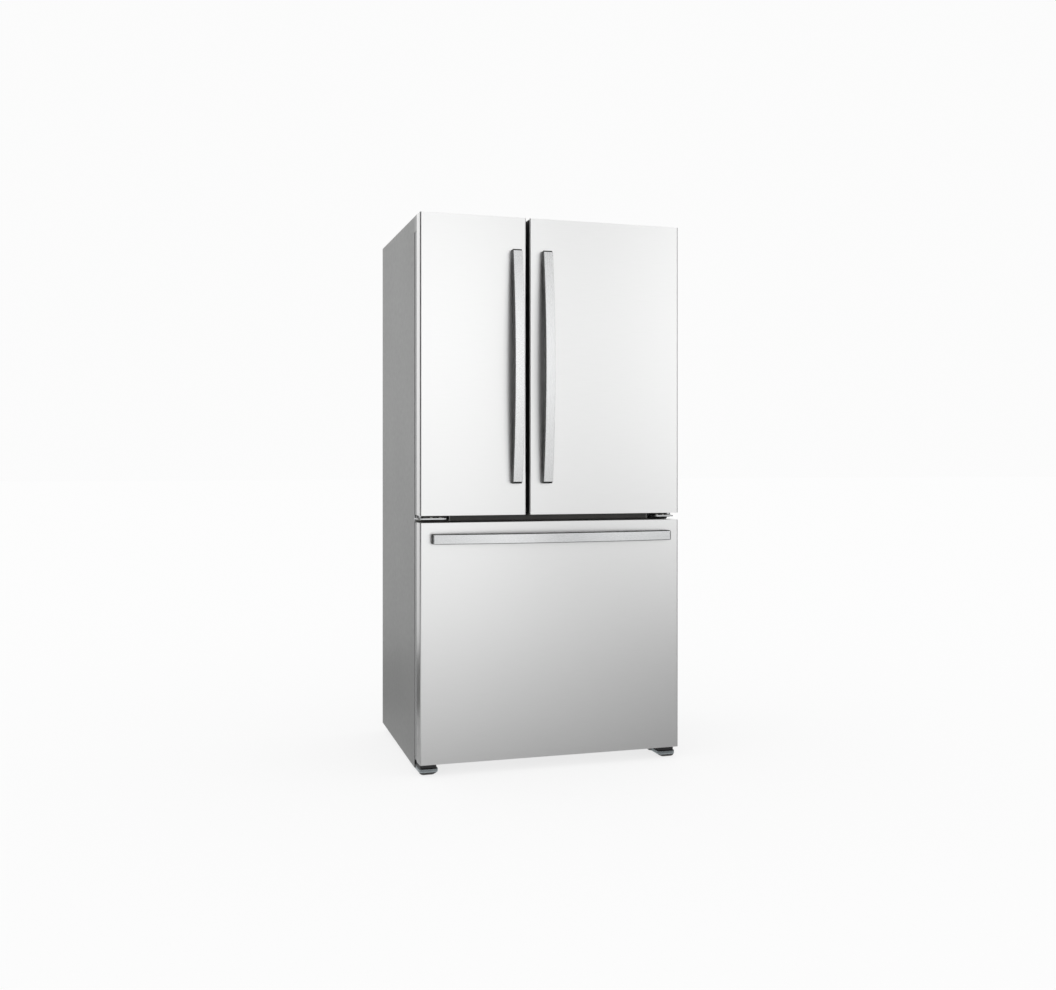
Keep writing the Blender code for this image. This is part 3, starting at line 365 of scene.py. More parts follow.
def sweep(bm, path, section, normal, closed=False):
    """Carries a closed section along a path that lies in a plane with this normal.

    Section points are (sideways, along the normal). Corners are mitred.
    """
    count = len(path)
    rings = []
    for i, point in enumerate(path):
        before = path[i - 1] if closed or i > 0 else path[i]
        after = path[(i + 1) % count] if closed or i < count - 1 else path[i]
        come = (point - before).normalized() if point != before else (after - point).normalized()
        leave = (after - point).normalized() if point != after else come
        way = (come + leave).normalized()
        side = way.cross(normal).normalized()
        stretch = 1.0 / max(SHARPEST_MITRE, way.dot(come))
        rings.append([bm.verts.new(point + side * (a * stretch) + normal * b) for a, b in section])
    bridge(bm, rings + rings[:1] if closed else rings)
    if not closed:
        bm.faces.new(rings[0])
        bm.faces.new(list(reversed(rings[-1])))


def bar(bm, axis, stops, place, section, normal):
    """Sweeps a section straight along axis 0, 1 or 2. Place gives the other two coordinates."""
    path = []
    for stop in stops:
        point = Vector(place)
        point[axis] = stop
        path.append(point)
    sweep(bm, path, section, normal)


def loop(centre, u, v, half_u, half_v, radius, steps=CORNER_STEPS):
    """A rounded rectangle's points about a centre, in the plane of u and v."""
    points = []
    for number, (su, sv) in enumerate(((1, 1), (-1, 1), (-1, -1), (1, -1))):
        corner = centre + u * (su * (half_u - radius)) + v * (sv * (half_v - radius))
        for i in range(steps + 1):
            turn = math.pi / 2 * (number + i / steps)
            points.append(corner + (u * math.cos(turn) + v * math.sin(turn)) * radius)
    return points


def rounded_section(width, depth, radius, steps=3):
    """A section's outline: a rounded rectangle about zero."""
    flat = loop(Vector(), X, Y, width / 2, depth / 2, radius, steps)
    return [(p.x, p.y) for p in flat]


def ridge(foot, crest, height, sunk=SUNK):
    """The section of a pressed or moulded rib: half its width at the foot and at the crest, its height."""
    return [(-foot, -sunk), (foot, -sunk), (crest, height), (-crest, height)]


def rim(bm, low, high, drop, inset, radius, section):
    """Adds a bead round the inside of a box's top edge."""
    centre, half = (low + high) / 2, (high - low) / 2
    centre.z = high.z - drop
    sweep(bm, loop(centre, X, Y, half.x - inset, half.y - inset, radius), section, Z, closed=True)


def shell_box(bm, low, high, radius, wall, draft):
    """Adds an open-topped box with rounded upright corners. Draft draws its foot in."""
    centre, half = (low + high) / 2, (high - low) / 2
    fillet = 0.003
    levels = (
        (low.z, -draft - fillet), (low.z + fillet, -draft), (high.z, 0.0),
        (high.z, -wall), (low.z + wall + fillet, -draft - wall), (low.z + wall, -draft - wall - fillet),
    )
    rings = []
    for level, grow in levels:
        points = loop(Vector((centre.x, centre.y, level)), X, Y, half.x + grow, half.y + grow, radius, 5)
        rings.append([bm.verts.new(p) for p in points])
    bridge(bm, rings)
    bm.faces.new(rings[0])
    bm.faces.new(rings[-1])


def wire(bm, path, radius, normal, closed=False, sides=8):
    section = [(radius * math.cos(turn), radius * math.sin(turn)) for turn in turns_of(sides)]
    sweep(bm, path, section, normal, closed)


def tube(name, start, steps, radius, finish):
    """A round tube on the cabinet, along a smooth route: a start, and steps measured from it."""
    points = [start] + [start + Vector(step) for step in steps]
    curve = bpy.data.curves.new(name, "CURVE")
    curve.dimensions = "3D"
    curve.bevel_depth = radius
    curve.bevel_resolution = 3
    curve.use_fill_caps = True
    spline = curve.splines.new("BEZIER")
    spline.bezier_points.add(len(points) - 1)
    for knot, place in zip(spline.bezier_points, points):
        knot.co = place
        knot.handle_left_type = knot.handle_right_type = "AUTO"
    curve.materials.append(finish)
    thing = add(name, curve)
    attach(thing, "cabinet")


# --- Floor, light and camera ---------------------------------------------------------------------

LENS, SENSOR = 40.05, 36.0  # in millimetres
SHIFT_UP = -0.0308
EYE, EYE_TURN = (-1.131, FRONT - 3.461, 0.945), -16.86
PALE = 0.97  # the background's brightness
SKY_LIGHT = 1.05
FLOOR_TONE, FLOOR_GLOW = 0.20, 0.77  # a dark floor that glows keeps its shadows pale
EVEN = ((0.0, 1.0), (1.0, 1.0))


def camera():
    data = bpy.data.cameras.new("camera")
    data.lens = LENS
    data.sensor_width = SENSOR
    data.shift_y = SHIFT_UP
    eye = add("camera", data)
    eye.location = EYE
    eye.rotation_euler = (math.radians(90), 0.0, math.radians(EYE_TURN))
    bpy.context.scene.camera = eye


def prop(name, size, steps, finish):
    """A flat square that isn't part of the object."""
    bm = bmesh.new()
    bmesh.ops.create_grid(bm, x_segments=steps, y_segments=steps, size=size)
    mesh = bpy.data.meshes.new(name)
    bm.to_mesh(mesh)
    bm.free()
    mesh.materials.append(finish.material)
    thing = add(name, mesh)
    return thing


def floor():
    glow = {"Emission_Color": (1.0, 1.0, 1.0, 1.0), "Emission_Strength": FLOOR_GLOW}
    finish = Finish("floor_paint", (FLOOR_TONE, FLOOR_TONE, FLOOR_TONE), 0.6, Specular_IOR_Level=0.0, **glow)
    finish.bump(finish.noise(30.0), 0.0002, 0.2)
    prop("floor", 60.0, 8, finish)


def sky():
    """A pale background for the camera, and a slightly brighter one for light and reflections."""
    world = bpy.data.worlds.new("studio")
    bpy.context.scene.world = world
    world.use_nodes = True
    tree = world.node_tree
    tree.nodes.clear()
    tones = []
    for tone, strength in ((1.0, SKY_LIGHT), (PALE, 1.0)):
        tones.append(tree.nodes.new("ShaderNodeBackground"))
        tones[-1].inputs["Color"].default_value = (tone, tone, tone, 1.0)
        tones[-1].inputs["Strength"].default_value = strength
    ray = tree.nodes.new("ShaderNodeLightPath")
    mix = tree.nodes.new("ShaderNodeMixShader")
    out = tree.nodes.new("ShaderNodeOutputWorld")
    tree.links.new(ray.outputs["Is Camera Ray"], mix.inputs["Fac"])
    tree.links.new(tones[0].outputs["Background"], mix.inputs[1])
    tree.links.new(tones[1].outputs["Background"], mix.inputs[2])
    tree.links.new(mix.outputs["Shader"], out.inputs["Surface"])


def card(name, centre, aim, size, glow, up=EVEN, across=EVEN):
    """A panel that only reflections see.

    Stops of (place, share of the glow) run from its foot, 0, to its top, 1, and from left to right. The
    first two stops are the ends.
    """
    finish = Finish(name, (0.0, 0.0, 0.0), 1.0, Specular_IOR_Level=0.0)
    fades = []
    for axis, stops in (("Y", up), ("X", across)):
        ramp = finish.node("ShaderNodeValToRGB")
        ramp.color_ramp.interpolation = "B_SPLINE"
        knots = ramp.color_ramp.elements
        for number, (place, share) in enumerate(stops):
            knot = knots[number] if number < 2 else knots.new(place)
            knot.position = place
            knot.color = (share, share, share, 1.0)
        finish.link(finish.remap(finish.height(axis), 0.0, 1.0, -0.5, 0.5), ramp.inputs["Fac"])
        fades.append(ramp.outputs["Color"])
    finish.link(fades[0], finish.shader.inputs["Emission Color"])
    finish.link(finish.remap(fades[1], 0.0, glow, 0.0, 1.0), finish.shader.inputs["Emission Strength"])
    panel = prop(name, 0.5, 1, finish)
    panel.location = centre
    panel.scale = (*size, 1.0)
    panel.rotation_euler = [math.radians(turn) for turn in aim]
    panel.visible_camera = panel.visible_diffuse = panel.visible_shadow = False


def studio():
    bpy.context.scene.view_settings.view_transform = "Standard"
    camera()
    floor()
    sky()
    # Dark round the left front corner, bright behind it.
    left_up = ((0.0, 1.0), (1.0, 0.05), (0.18, 1.0), (0.27, 0.06))
    card("left_flag", (-1.98, FRONT - 1.09, 1.25), (90, 0, -55), (2.2, 2.8), 0.6, left_up)
    card("side_flag", (-2.22, FRONT + 0.75, 1.25), (90, 0, 67.4), (2.03, 2.8), 0.03)
    card("top_flag", (0.0, FRONT + 0.95, 2.9), (0, 0, 0), (3.0, 2.1), 0.35)
    card("right_flag", (2.3, FRONT + 0.1, 1.25), (90, 0, 90), (2.6, 2.8), 0.08)
    rear_up = ((0.0, 0.5), (1.0, 1.0), (0.3, 0.85))
    card("rear_card", (-1.35, BACK + 1.6, 2.0), (90, 0, 0), (2.0, 4.0), 1.1, rear_up)
    card("floor_flag", (-1.4, 0.9, 0.012), (0, 0, 0), (1.9, 3.2), 0.10)
    # On the floor in front: dark at the drawer's foot, brighter further out, darker to the right.
    low_up = (
        (0.0, 1.0), (1.0, 0.34), (0.36, 0.86), (0.56, 0.65), (0.69, 0.52), (0.82, 0.44), (0.89, 0.35),
    )
    low_across = ((0.0, 1.0), (1.0, 0.32), (0.38, 1.0), (0.48, 0.72), (0.60, 0.43))
    low_place, low_size = (1.085, FRONT - 3.325, 0.012), (6.4, 9.0)
    card("low_card", low_place, (0, 0, 18), low_size, 1.48, low_up, low_across)
    # Far in front: a wide bright field with a soft dark band to the right of its middle.
    front_up = ((0.0, 0.70), (1.0, 0.42), (0.09, 0.82), (0.26, 1.0), (0.50, 0.95), (0.72, 0.52))
    front_across = (
        (0.0, 0.62), (1.0, 0.94), (0.20, 0.66), (0.31, 1.0), (0.43, 1.0), (0.505, 0.86), (0.565, 0.37),
        (0.65, 0.45), (0.74, 0.93),
    )
    front_place, front_size = (1.3, FRONT - 5.0, 3.01), (4.6, 6.0)
    card("front_card", front_place, (90, 0, 0), front_size, 1.47, front_up, front_across)


# --- Doors and drawer outside --------------------------------------------------------------------

HANDLE_END = 0.025  # how far a handle's ends stand out from the door
FACE = 0.0026  # thickness of the bright strap on a handle's dark body
END_RADIUS = 0.0065
END_STEPS = 6
POST = 0.030  # length of a handle's foot along the handle
BODY_THICK = 0.020
FINGER_GAP = 0.0045  # least distance from the door's face to the handle's body between its feet


def bow(u, half, top):
    return HANDLE_END + (top - HANDLE_END) * (1 - (u / half) ** 2)


def handle_line(half, top, inset, steps=48):
    """The outer line of a bowed handle with rounded ends, as (along, out) points, drawn in by inset."""
    radius = END_RADIUS - inset
    inner = half - END_RADIUS
    end = bow(inner, half, top) - inset
    turns = [math.pi / 2 * i / END_STEPS for i in range(END_STEPS + 1)]
    first = [(-inner - radius * math.cos(a), end - radius + radius * math.sin(a)) for a in turns]
    middle = [(-inner + 2 * inner * i / steps) for i in range(1, steps)]
    points = first + [(u, bow(u, half, top) - inset) for u in middle]
    return points + [(-u, v) for u, v in reversed(first)]


def handle(node, body, along, across, finish, inset=0.0, shift=0.0, wrap=0):
    """Replaces a handle: a dark body with its two feet, and a bright brushed strap over its front.

    Inset narrows the strap and shift moves it sideways, so that the body shows beside it. Wrap says how
    many of the end's steps the strap goes round. Where it is 0, the strap stops short of the ends.
    """
    low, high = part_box(node)
    centre = (low + high) / 2
    half = abs((high - low).dot(along)) / 2
    width = abs((high - low).dot(across))
    top, foot = FRONT - low.y, FRONT - high.y

    def world(u, v):
        return centre + along * u - Y * (v - (FRONT - centre.y))

    inner, count = half - POST, 40
    under = [inner - 2 * inner * i / count for i in range(1, count)]
    line = [(-half + 0.0006, foot)] + handle_line(half, top, FACE * 0.55)
    line += [(half - 0.0006, foot), (inner, foot)]
    line += [(u, max(bow(u, half, top) - BODY_THICK, FINGER_GAP)) for u in under] + [(-inner, foot)]
    bm = bmesh.new()
    ends = []
    for side in (-1, 1):
        ends.append([bm.verts.new(world(u, v) + across * side * (width / 2 - 0.0003)) for u, v in line])
        bm.faces.new(ends[-1])
    bridge(bm, ends)
    near_end = [abs(u) > half - END_RADIUS * 0.99 for u, _ in line]
    edges = []
    for ring in ends:
        for i in range(len(line)):
            j = (i + 1) % len(line)
            if near_end[i] and near_end[j]:
                edges.append(bm.edges.get((ring[i], ring[j])))
    bmesh.ops.bevel(bm, geom=edges, offset=0.0035, segments=4, profile=0.5, affect="EDGES")
    piece(node + "_body", bm, body, handle_back, 0.0006)

    skip = END_STEPS - wrap
    path = [world(u, v) + across * shift for u, v in handle_line(half, top, FACE / 2)[skip:-skip]]
    if not wrap:
        path[0] += (path[1] - path[0]).normalized() * 0.0005
    strap = bmesh.new()
    sweep(strap, path, rounded_section(FACE, width - 2 * inset, FACE * 0.46, 4), across)
    face = piece(node + "_face", strap, body, finish, stands_for=(node,))
    flat = face.modifiers.new("flat", "WEIGHTED_NORMAL")
    flat.weight = 100
    flat.keep_sharp = True


def gap_shade_strips():
    """Thin black strips on the doors' facing sides that stand in for the shade in the gap between them:
    painted shade.
    """
    left_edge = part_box("left_door_skin")[1].x
    for word, x, way in (("left", left_edge, 1), ("right", SKIN_LOW.x, -1)):
        ends = sorted((x - way * 0.0002, x + way * 0.0007))
        bm = bmesh.new()
        near, far = FRONT + 0.0065, FRONT + 0.049
        box(bm, (ends[0], near, SKIN_LOW.z + 0.003), (ends[1], far, SKIN_HIGH.z - 0.003))
        # Each black strip is painted shade for the gap between the doors.
        piece(word + "_door_gap_shade_strip", bm, word + "_door", rubber, 0.0003)


def outside():
    dress(skin_steel, "left_door_skin", "right_door_skin", "drawer_skin", bevel=0.0016, segments=3)
    dress(door_liner, "left_door_inner_panel", "right_door_inner_panel", "drawer_inner_panel", bevel=0.0012)
    for _, word in SIDES:
        dress(cover_grey, word + "_door_top_cap", word + "_door_bottom_cap", bevel=0.001)
        handle(word + "_door_handle", word + "_door", Z, X, handle_upright)
    gap_shade_strips()
    # The drawer handle's strap takes the darker copy of the handles' aluminium, which is painted shade.
    handle("drawer_handle", "freezer_drawer", X, Z, shaded_handle_across, 0.0018, -0.0005, 4)


# --- Cabinet outside -----------------------------------------------------------------------------

PIN_X, PIN_Y = 0.410, FRONT + 0.062  # the doors' hinge pins
TOP_HINGE_DECK = 1.660
MIDDLE_HINGE_PLATE = 0.010  # height of the bracket's deck over its lowest point
# Where the dark blocks that stand in for the shade beside the middle brackets sit: painted shade.
SHADE_BLOCK_LOW, SHADE_BLOCK_HIGH = 0.7638, 0.7836
SHADE_BLOCK_OUTER = 0.4135
LOUVRE_BANKS, LOUVRE_LOW, LOUVRE_STEP = (-0.22, 0.0, 0.22), 0.080, 0.020


def case():
    dress(case_paint, "outer_case", bevel=0.0009, segments=3)
    dress(case_paint, "mid_rail")
    dress(foam_yellow, "cabinet_foam")
    dress(galvanised, "back_panel", bevel=0.0003)
    dress(galvanised, "base_frame", bevel=0.0006)
    dress(cover_grey, "left_hinge_cover", "right_hinge_cover", bevel=0.0009, segments=3)
    dress(hinge_steel, "left_top_hinge", "right_top_hinge", bevel=0.0007)
    dress(hinge_steel, "left_middle_hinge", "right_middle_hinge", bevel=0.0007)


def back():
    """Pressed ribs and screws on the rear panel, and sloped blades behind the louvres' slots."""
    low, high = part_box("back_panel")
    sheet, proud = high.y, (BACK - high.y) * 0.9
    middle = (low + high) / 2
    ribs = bmesh.new()
    for half_x, half_z in ((0.33, 0.62), (0.27, 0.56)):
        path = loop(Vector((middle.x, sheet, middle.z)), Z, X, half_z, half_x, 0.05, 8)
        sweep(ribs, path, ridge(0.006, 0.003, proud), Y, closed=True)
    for level in range(-2, 3):
        place = (0, sheet, middle.z + level * 0.2)
        bar(ribs, 0, (-0.21, -0.2, 0.2, 0.21), place, ridge(0.007, 0.0035, proud), Y)
    piece("back_panel_ribs", ribs, "cabinet", galvanised, 0.0003)
    levels = [low.z + 0.04 + i * (high.z - low.z - 0.08) / 6 for i in range(7)]
    places = [(x, sheet, z) for x in (-0.405, 0.405) for z in levels]
    places += [(x, sheet, high.z - 0.012) for x in (-0.2, 0.0, 0.2)]
    screws("back_panel_screws", "cabinet", zinc, Y, places, 0.004, proud)

    dress(black_plastic, "machine_cover", bevel=0.0004)
    low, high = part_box("machine_cover")
    blades = bmesh.new()
    for bank in LOUVRE_BANKS:
        for row in range(7):
            z = LOUVRE_LOW + row * LOUVRE_STEP
            near, far = low.y - 0.0045, low.y - 0.0033
            pivot = (bank, low.y - 0.004, z + 0.0035)
            blade(blades, (bank - 0.073, near, z - 0.0015), (bank + 0.073, far, z + 0.0085), pivot, 32)
    piece("machine_cover_louvres", blades, "cabinet", black_plastic, 0.0003)
    rows = (low.z + 0.014, high.z - 0.014)
    places = [(x, high.y, z) for x in (-0.400, -0.11, 0.11, 0.400) for z in rows]
    screws("machine_cover_screws", "cabinet", zinc, Y, places, 0.0045, 0.0005)


def hinges():
    """Bolts, dark blocks beside the middle brackets that stand in for the shade there (painted shade),
    bearing caps, and the top covers' screws.
    """
    for side, word in SIDES:
        low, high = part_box(word + "_middle_hinge")
        deck = low.z + MIDDLE_HINGE_PLATE
        outer, inner = (low.x, high.x) if side < 0 else (high.x, low.x)
        length = inner - outer
        places = [(outer + length * part, FRONT + 0.050, deck) for part in (0.48, 0.78)]
        bolts(word + "_middle_hinge_bolts", "cabinet", places)
        # A dark block beside each middle bracket, brown on the left and black on the right, is painted shade.
        shade_block = bmesh.new()
        ends = sorted((side * SHADE_BLOCK_OUTER, inner))
        for z_low, z_high in ((low.z + 0.0103, SHADE_BLOCK_HIGH), (SHADE_BLOCK_LOW, low.z + 0.0057)):
            box(shade_block, (ends[0], FRONT + 0.0735, z_low), (ends[1], FRONT + 0.0880, z_high))
        finish = trim_brown if side < 0 else rubber
        piece(word + "_middle_hinge_shade_block", shade_block, "cabinet", finish, 0.0006)
        cap = bmesh.new()
        pin = (side * PIN_X, PIN_Y, deck)
        plug = [(0.0, -0.0068), (0.0072, -0.0068), (0.0078, -0.0062), (0.0078, -0.0040), (0.0, -0.0040)]
        lathe(cap, plug, pin, Z)
        turned_ring(cap, [(0.0086, 0.0), (0.0096, 0.0), (0.0094, 0.0012), (0.0086, 0.0016)], pin, Z, 28)
        stops = [outer + length * part for part in (0.16, 0.5, 0.86)]
        lip = (0, low.y + 0.0035, deck + 0.0008)
        bar(cap, 0, stops, lip, rounded_section(0.0022, 0.0016, 0.0007, 2), Z)
        piece(word + "_middle_hinge_bearing", cap, "cabinet", zinc, 0.0003)
        places = [(side * x, FRONT + 0.076, TOP_HINGE_DECK) for x in (0.378, 0.338)]
        bolts(word + "_top_hinge_bolts", "cabinet", places)
        low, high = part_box(word + "_hinge_cover")
        top = ((low.x + high.x) / 2, (low.y + high.y) / 2 + 0.004, high.z - 0.0004)
        screws(word + "_hinge_cover_screw", "cabinet", cover_grey, Z, [top], 0.0045, 0.0004)


def strip():
    """The dark strip above the drawer, with a pale clip at each end and two fine beads along it."""
    dress(trim_brown, "mid_trim", bevel=0.0006)
    low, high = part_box("mid_trim")
    clips = bmesh.new()
    for x, way in ((low.x, 1), (high.x, -1)):
        ends = sorted((x - way * 0.0022, x + way * 0.0006))
        box(clips, (ends[0], low.y - 0.0006, low.z), (ends[1], low.y + 0.012, high.z))
    piece("mid_trim_clips", clips, "cabinet", magnet_grey, 0.0005)
    beads = bmesh.new()
    stops, section = (low.x + 0.004, 0.0, high.x - 0.004), rounded_section(0.0009, 0.0007, 0.0003, 2)
    for z in (low.z + 0.003, high.z - 0.003):
        bar(beads, 0, stops, (0, low.y, z), section, Z)
    piece("mid_trim_beads", beads, "cabinet", trim_brown)


def foot_cover(side, word, stem):
    """A rounded hollow shell round the foot's stem, with a ribbed band round its front."""
    low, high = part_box(word + "_foot_cover")
    roof = 0.0290  # height of the hollow inside
    # Height, then how far each face is drawn in: the outer side, the inner side, the front, the back.
    levels = (
        (high.z, 0.0030, 0.0040, 0.0045, 0.001), (0.0215, 0.0030, 0.0040, 0.0045, 0.0),
        (0.0200, 0.0008, 0.0015, 0.0010, 0.0), (0.0192, 0.0, 0.0, 0.0, 0.0), (0.0095, 0.0, 0.0, 0.0, 0.0),
        (0.0070, 0.0008, 0.0030, 0.0004, 0.0), (0.0045, 0.0026, 0.0072, 0.0016, 0.0),
        (0.0022, 0.0058, 0.0118, 0.0038, 0.0), (low.z, 0.0095, 0.0160, 0.0068, 0.002),
        (low.z, 0.0110, 0.0170, 0.0100, 0.006), (0.0060, 0.0060, 0.0070, 0.0062, 0.006),
        (roof, 0.0060, 0.0070, 0.0072, 0.006),
    )
    outlines = []
    for z, outer, inner, front, rear in levels:
        left, right = (outer, inner) if side < 0 else (inner, outer)
        near, far = Vector((low.x + left, low.y + front, z)), Vector((high.x - right, high.y - rear, z))
        half = (far - near) / 2
        outlines.append(loop((near + far) / 2, X, Y, half.x, half.y, max(0.003, 0.011 - front)))
    holes = [loop(Vector((stem.x, stem.y, z)), X, Y, 0.0085, 0.0085, 0.0080) for z in (high.z, roof)]
    shell = bmesh.new()
    rings = [[shell.verts.new(p) for p in points] for points in (holes[0], *outlines, holes[1])]
    bridge(shell, rings + rings[:1])
    name = word + "_foot_cover"
    piece(name + "_shell", shell, "cabinet", black_plastic, stands_for=(name,))

    half = (high - low) / 2
    front = [p for p in loop((low + high) / 2, X, Y, half.x, half.y, 0.011) if p.y < low.y + 0.0115]
    front.sort(key=lambda p: p.x)
    route = [front[0] + Y * 0.045, *front, front[-1] + Y * 0.045]
    band = bmesh.new()
    for start, end in zip(route, route[1:]):
        way = (end - start).normalized()
        count = max(1, round((end - start).length / 0.0030))
        for i in range(count):
            place = start + (end - start) * ((i + 0.5) / count)
            rib = [place + way * a + way.cross(Z) * b for a, b in ridge(0.0013, 0.00078, 0.00055)]
            rings = [[band.verts.new((p.x, p.y, z)) for p in rib] for z in (0.0094, 0.0190)]
            bridge(band, rings)
            for ring in rings:
                band.faces.new(ring)
    piece(name + "_grip", band, "cabinet", foot_band)


def feet():
    dress(black_plastic, "left_levelling_foot", "right_levelling_foot", bevel=0.0008)
    dress(black_plastic, "left_rear_roller", "right_rear_roller", bevel=0.0010)
    for side, word in SIDES:
        low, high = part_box(word + "_levelling_foot")
        stem = (low + high) / 2
        stem.z = 0.0
        foot_cover(side, word, stem)
        pad = bmesh.new()
        outline = [(0.0135, 0.0002), (0.0185, 0.0002), (0.0188, 0.0012), (0.0135, 0.0012)]
        turned_ring(pad, outline, stem, Z, 40)
        piece(word + "_foot_pad", pad, word + "_levelling_foot", rubber)
        thread = bmesh.new()
        for i in range(9):
            foot = 0.0160 + i * 0.0016
            turned_ring(thread, [(0.0046, foot), (0.0056, foot + 0.0006), (0.0046, foot + 0.0012)], stem, Z)
        piece(word + "_foot_thread", thread, word + "_levelling_foot", zinc)
        low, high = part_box(word + "_rear_roller")
        face = (high.x - low.x) / 2
        rims = bmesh.new()
        for way in (-1, 1):
            flat, proud = way * (face - 0.0004), way * (face + 0.0002)
            turned_ring(rims, [(0.0068, flat), (0.0085, proud), (0.0102, flat)], (low + high) / 2, X, 32)
        piece(word + "_roller_hub", rims, word + "_rear_roller", magnet_grey)


# --- Gaskets and door insides --------------------------------------------------------------------

GASKET_HALF = 0.006
HALF_BELLOWS = [
    (0.0034, 0.0), (0.0034, 0.0018), (0.0056, 0.0042), (0.0036, 0.0064), (0.0060, 0.0086), (0.0060, 0.0134),
    (0.0050, 0.0145),
]
BELLOWS = HALF_BELLOWS + [(-across, out) for across, out in reversed(HALF_BELLOWS)]
DOOR_FIELDS = ((0.846, 0.990), (1.185, 1.335), (1.500, 1.585))
DRAWER_FIELDS = ((0.085, 0.325), (0.395, 0.470), (0.610, 0.725))


def seal(node, body):
    """A folded gasket with its magnet strip, in place of the plain ring."""
    low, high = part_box(node)
    centre, half = (low + high) / 2, (high - low) / 2
    centre.y = low.y
    bm = bmesh.new()
    path = loop(centre, Z, X, half.z - GASKET_HALF, half.x - GASKET_HALF, 0.0015, 2)
    sweep(bm, path, BELLOWS, Y, closed=True)
    piece(node + "_bellows", bm, body, rubber, stands_for=(node,), angle=60)


def fields(bm, levels, x, half_x, radius, height):
    """Adds the beads round the raised fields of an inner panel, one for each pair of heights."""
    for z_low, z_high in levels:
        centre = Vector((x, PANEL_BACK, (z_low + z_high) / 2))
        path = loop(centre, Z, X, (z_high - z_low) / 2, half_x, radius)
        sweep(bm, path, ridge(0.004, 0.0022, height, 0.0004), Y, closed=True)


def door_bin(node, body):
    """A clear moulded bin with rounded corners, a thick rim and three ribs behind."""
    low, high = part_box(node)
    bm = bmesh.new()
    shell_box(bm, low, high, 0.014, 0.0022, 0.004)
    piece(node + "_shell", bm, body, clear_plastic, stands_for=(node,))
    edge = bmesh.new()
    rim(edge, low, high, 0.0035, 0.0014, 0.013, rounded_section(0.0028, 0.0070, 0.0012))
    stops = (low.x + 0.03, (low.x + high.x) / 2, high.x - 0.03)
    for number in range(3):
        place = (0, high.y - 0.0042, low.z + 0.020 + number * 0.012)
        bar(edge, 0, stops, place, rounded_section(0.0012, 0.0026, 0.0005, 2), Z)
    piece(node + "_rim", edge, body, clear_rim)


def door_inside():
    """What shows on the doors' inner faces: gaskets, raised fields, bins, the dairy lid and the flap."""
    for _, word in SIDES:
        seal(word + "_door_gasket", word + "_door")
        low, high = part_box(word + "_lower_bin")
        beads = bmesh.new()
        fields(beads, DOOR_FIELDS, (low.x + high.x) / 2, (high.x - low.x) / 2 - 0.018, 0.018, 0.0022)
        piece(word + "_door_panel_beads", beads, word + "_door", door_liner, 0.0008)
    door_bin("left_upper_bin", "left_door")
    door_bin("left_lower_bin", "left_door")
    door_bin("dairy_bin", "right_door")
    door_bin("right_lower_bin", "right_door")
    dress(clear_plastic, "dairy_lid", bevel=0.0006)
    low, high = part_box("dairy_lid")
    pull = bmesh.new()
    stops = [(low.x + high.x) / 2 + x for x in (-0.05, -0.02, 0.02, 0.05)]
    place = (0, high.y - 0.0020, low.z + 0.0035)
    bar(pull, 0, stops, place, rounded_section(0.0020, 0.0050, 0.0009), Z)
    piece("dairy_lid_pull", pull, "dairy_lid", clear_rim)

    dress(cover_grey, "mullion_flap", bevel=0.0012, segments=3)
    low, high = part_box("mullion_flap")
    x = (low.x + high.x) / 2 + 0.001
    places = [(x, high.y, low.z + 0.05 + i * (high.z - low.z - 0.10) / 4) for i in range(5)]
    screws("mullion_flap_screws", "mullion_flap", zinc, Y, places, 0.0035, 0.001)
    seam = bmesh.new()
    stops, place = (low.z + 0.02, 1.2, high.z - 0.02), (x + 0.0095, high.y, 0)
    bar(seam, 2, stops, place, rounded_section(0.0016, 0.0010, 0.0004, 2), Y)
    piece("mullion_flap_bead", seam, "mullion_flap", cover_grey)


# --- Refrigerator inside -------------------------------------------------------------------------

LINER_WALL = 0.3699  # inner face of the refrigerator liner's sides
BAYS = ((1.030, 1.170), (1.222, 1.370), (1.422, 1.600))  # the spaces between the shelves
OUTLETS = (1.120, 1.320, 1.530)  # the feet of the air duct's outlets


def shelf_trim(node, drop=0.010):
    """A glass shelf's moulded edges: a deep one in front, a slim one behind, and two side rails."""
    low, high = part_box(node)
    stops = (0.006 - high.x, 0.0, high.x - 0.006)
    bm = bmesh.new()
    place = (0, low.y + 0.004, high.z - drop / 2 + 0.001)
    bar(bm, 0, stops, place, rounded_section(0.012, drop, 0.0035, 4), Z)
    bar(bm, 0, stops, (0, high.y - 0.004, high.z + 0.0015), rounded_section(0.008, 0.008, 0.002), Z)
    for side in (-1, 1):
        stops, place = (low.y + 0.012, 0.0, high.y - 0.010), (side * (high.x - 0.008), 0, high.z + 0.0008)
        bar(bm, 1, stops, place, rounded_section(0.010, 0.0022, 0.0009, 2), Z)
    piece(node + "_trim", bm, "cabinet", fitting_white)


def shelves():
    dress(shelf_glass, "upper_shelf", "lower_shelf", "crisper_cover", bevel=0.0005)
    shelf_trim("upper_shelf")
    shelf_trim("lower_shelf")
    shelf_trim("crisper_cover", 0.0095)
    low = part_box("crisper_cover")[0]
    keys = bmesh.new()
    for x in (-0.18, 0.18):
        box(keys, (x - 0.010, low.y - 0.0040, low.z - 0.0010), (x + 0.010, low.y - 0.0018, low.z + 0.0035))
        for tooth in (x - 0.004, x, x + 0.004):
            corner = (tooth + 0.0006, low.y - 0.0040, low.z + 0.0025)
            box(keys, (tooth - 0.0006, low.y - 0.0050, low.z), corner)
    piece("humidity_sliders", keys, "cabinet", key_grey, 0.0004)


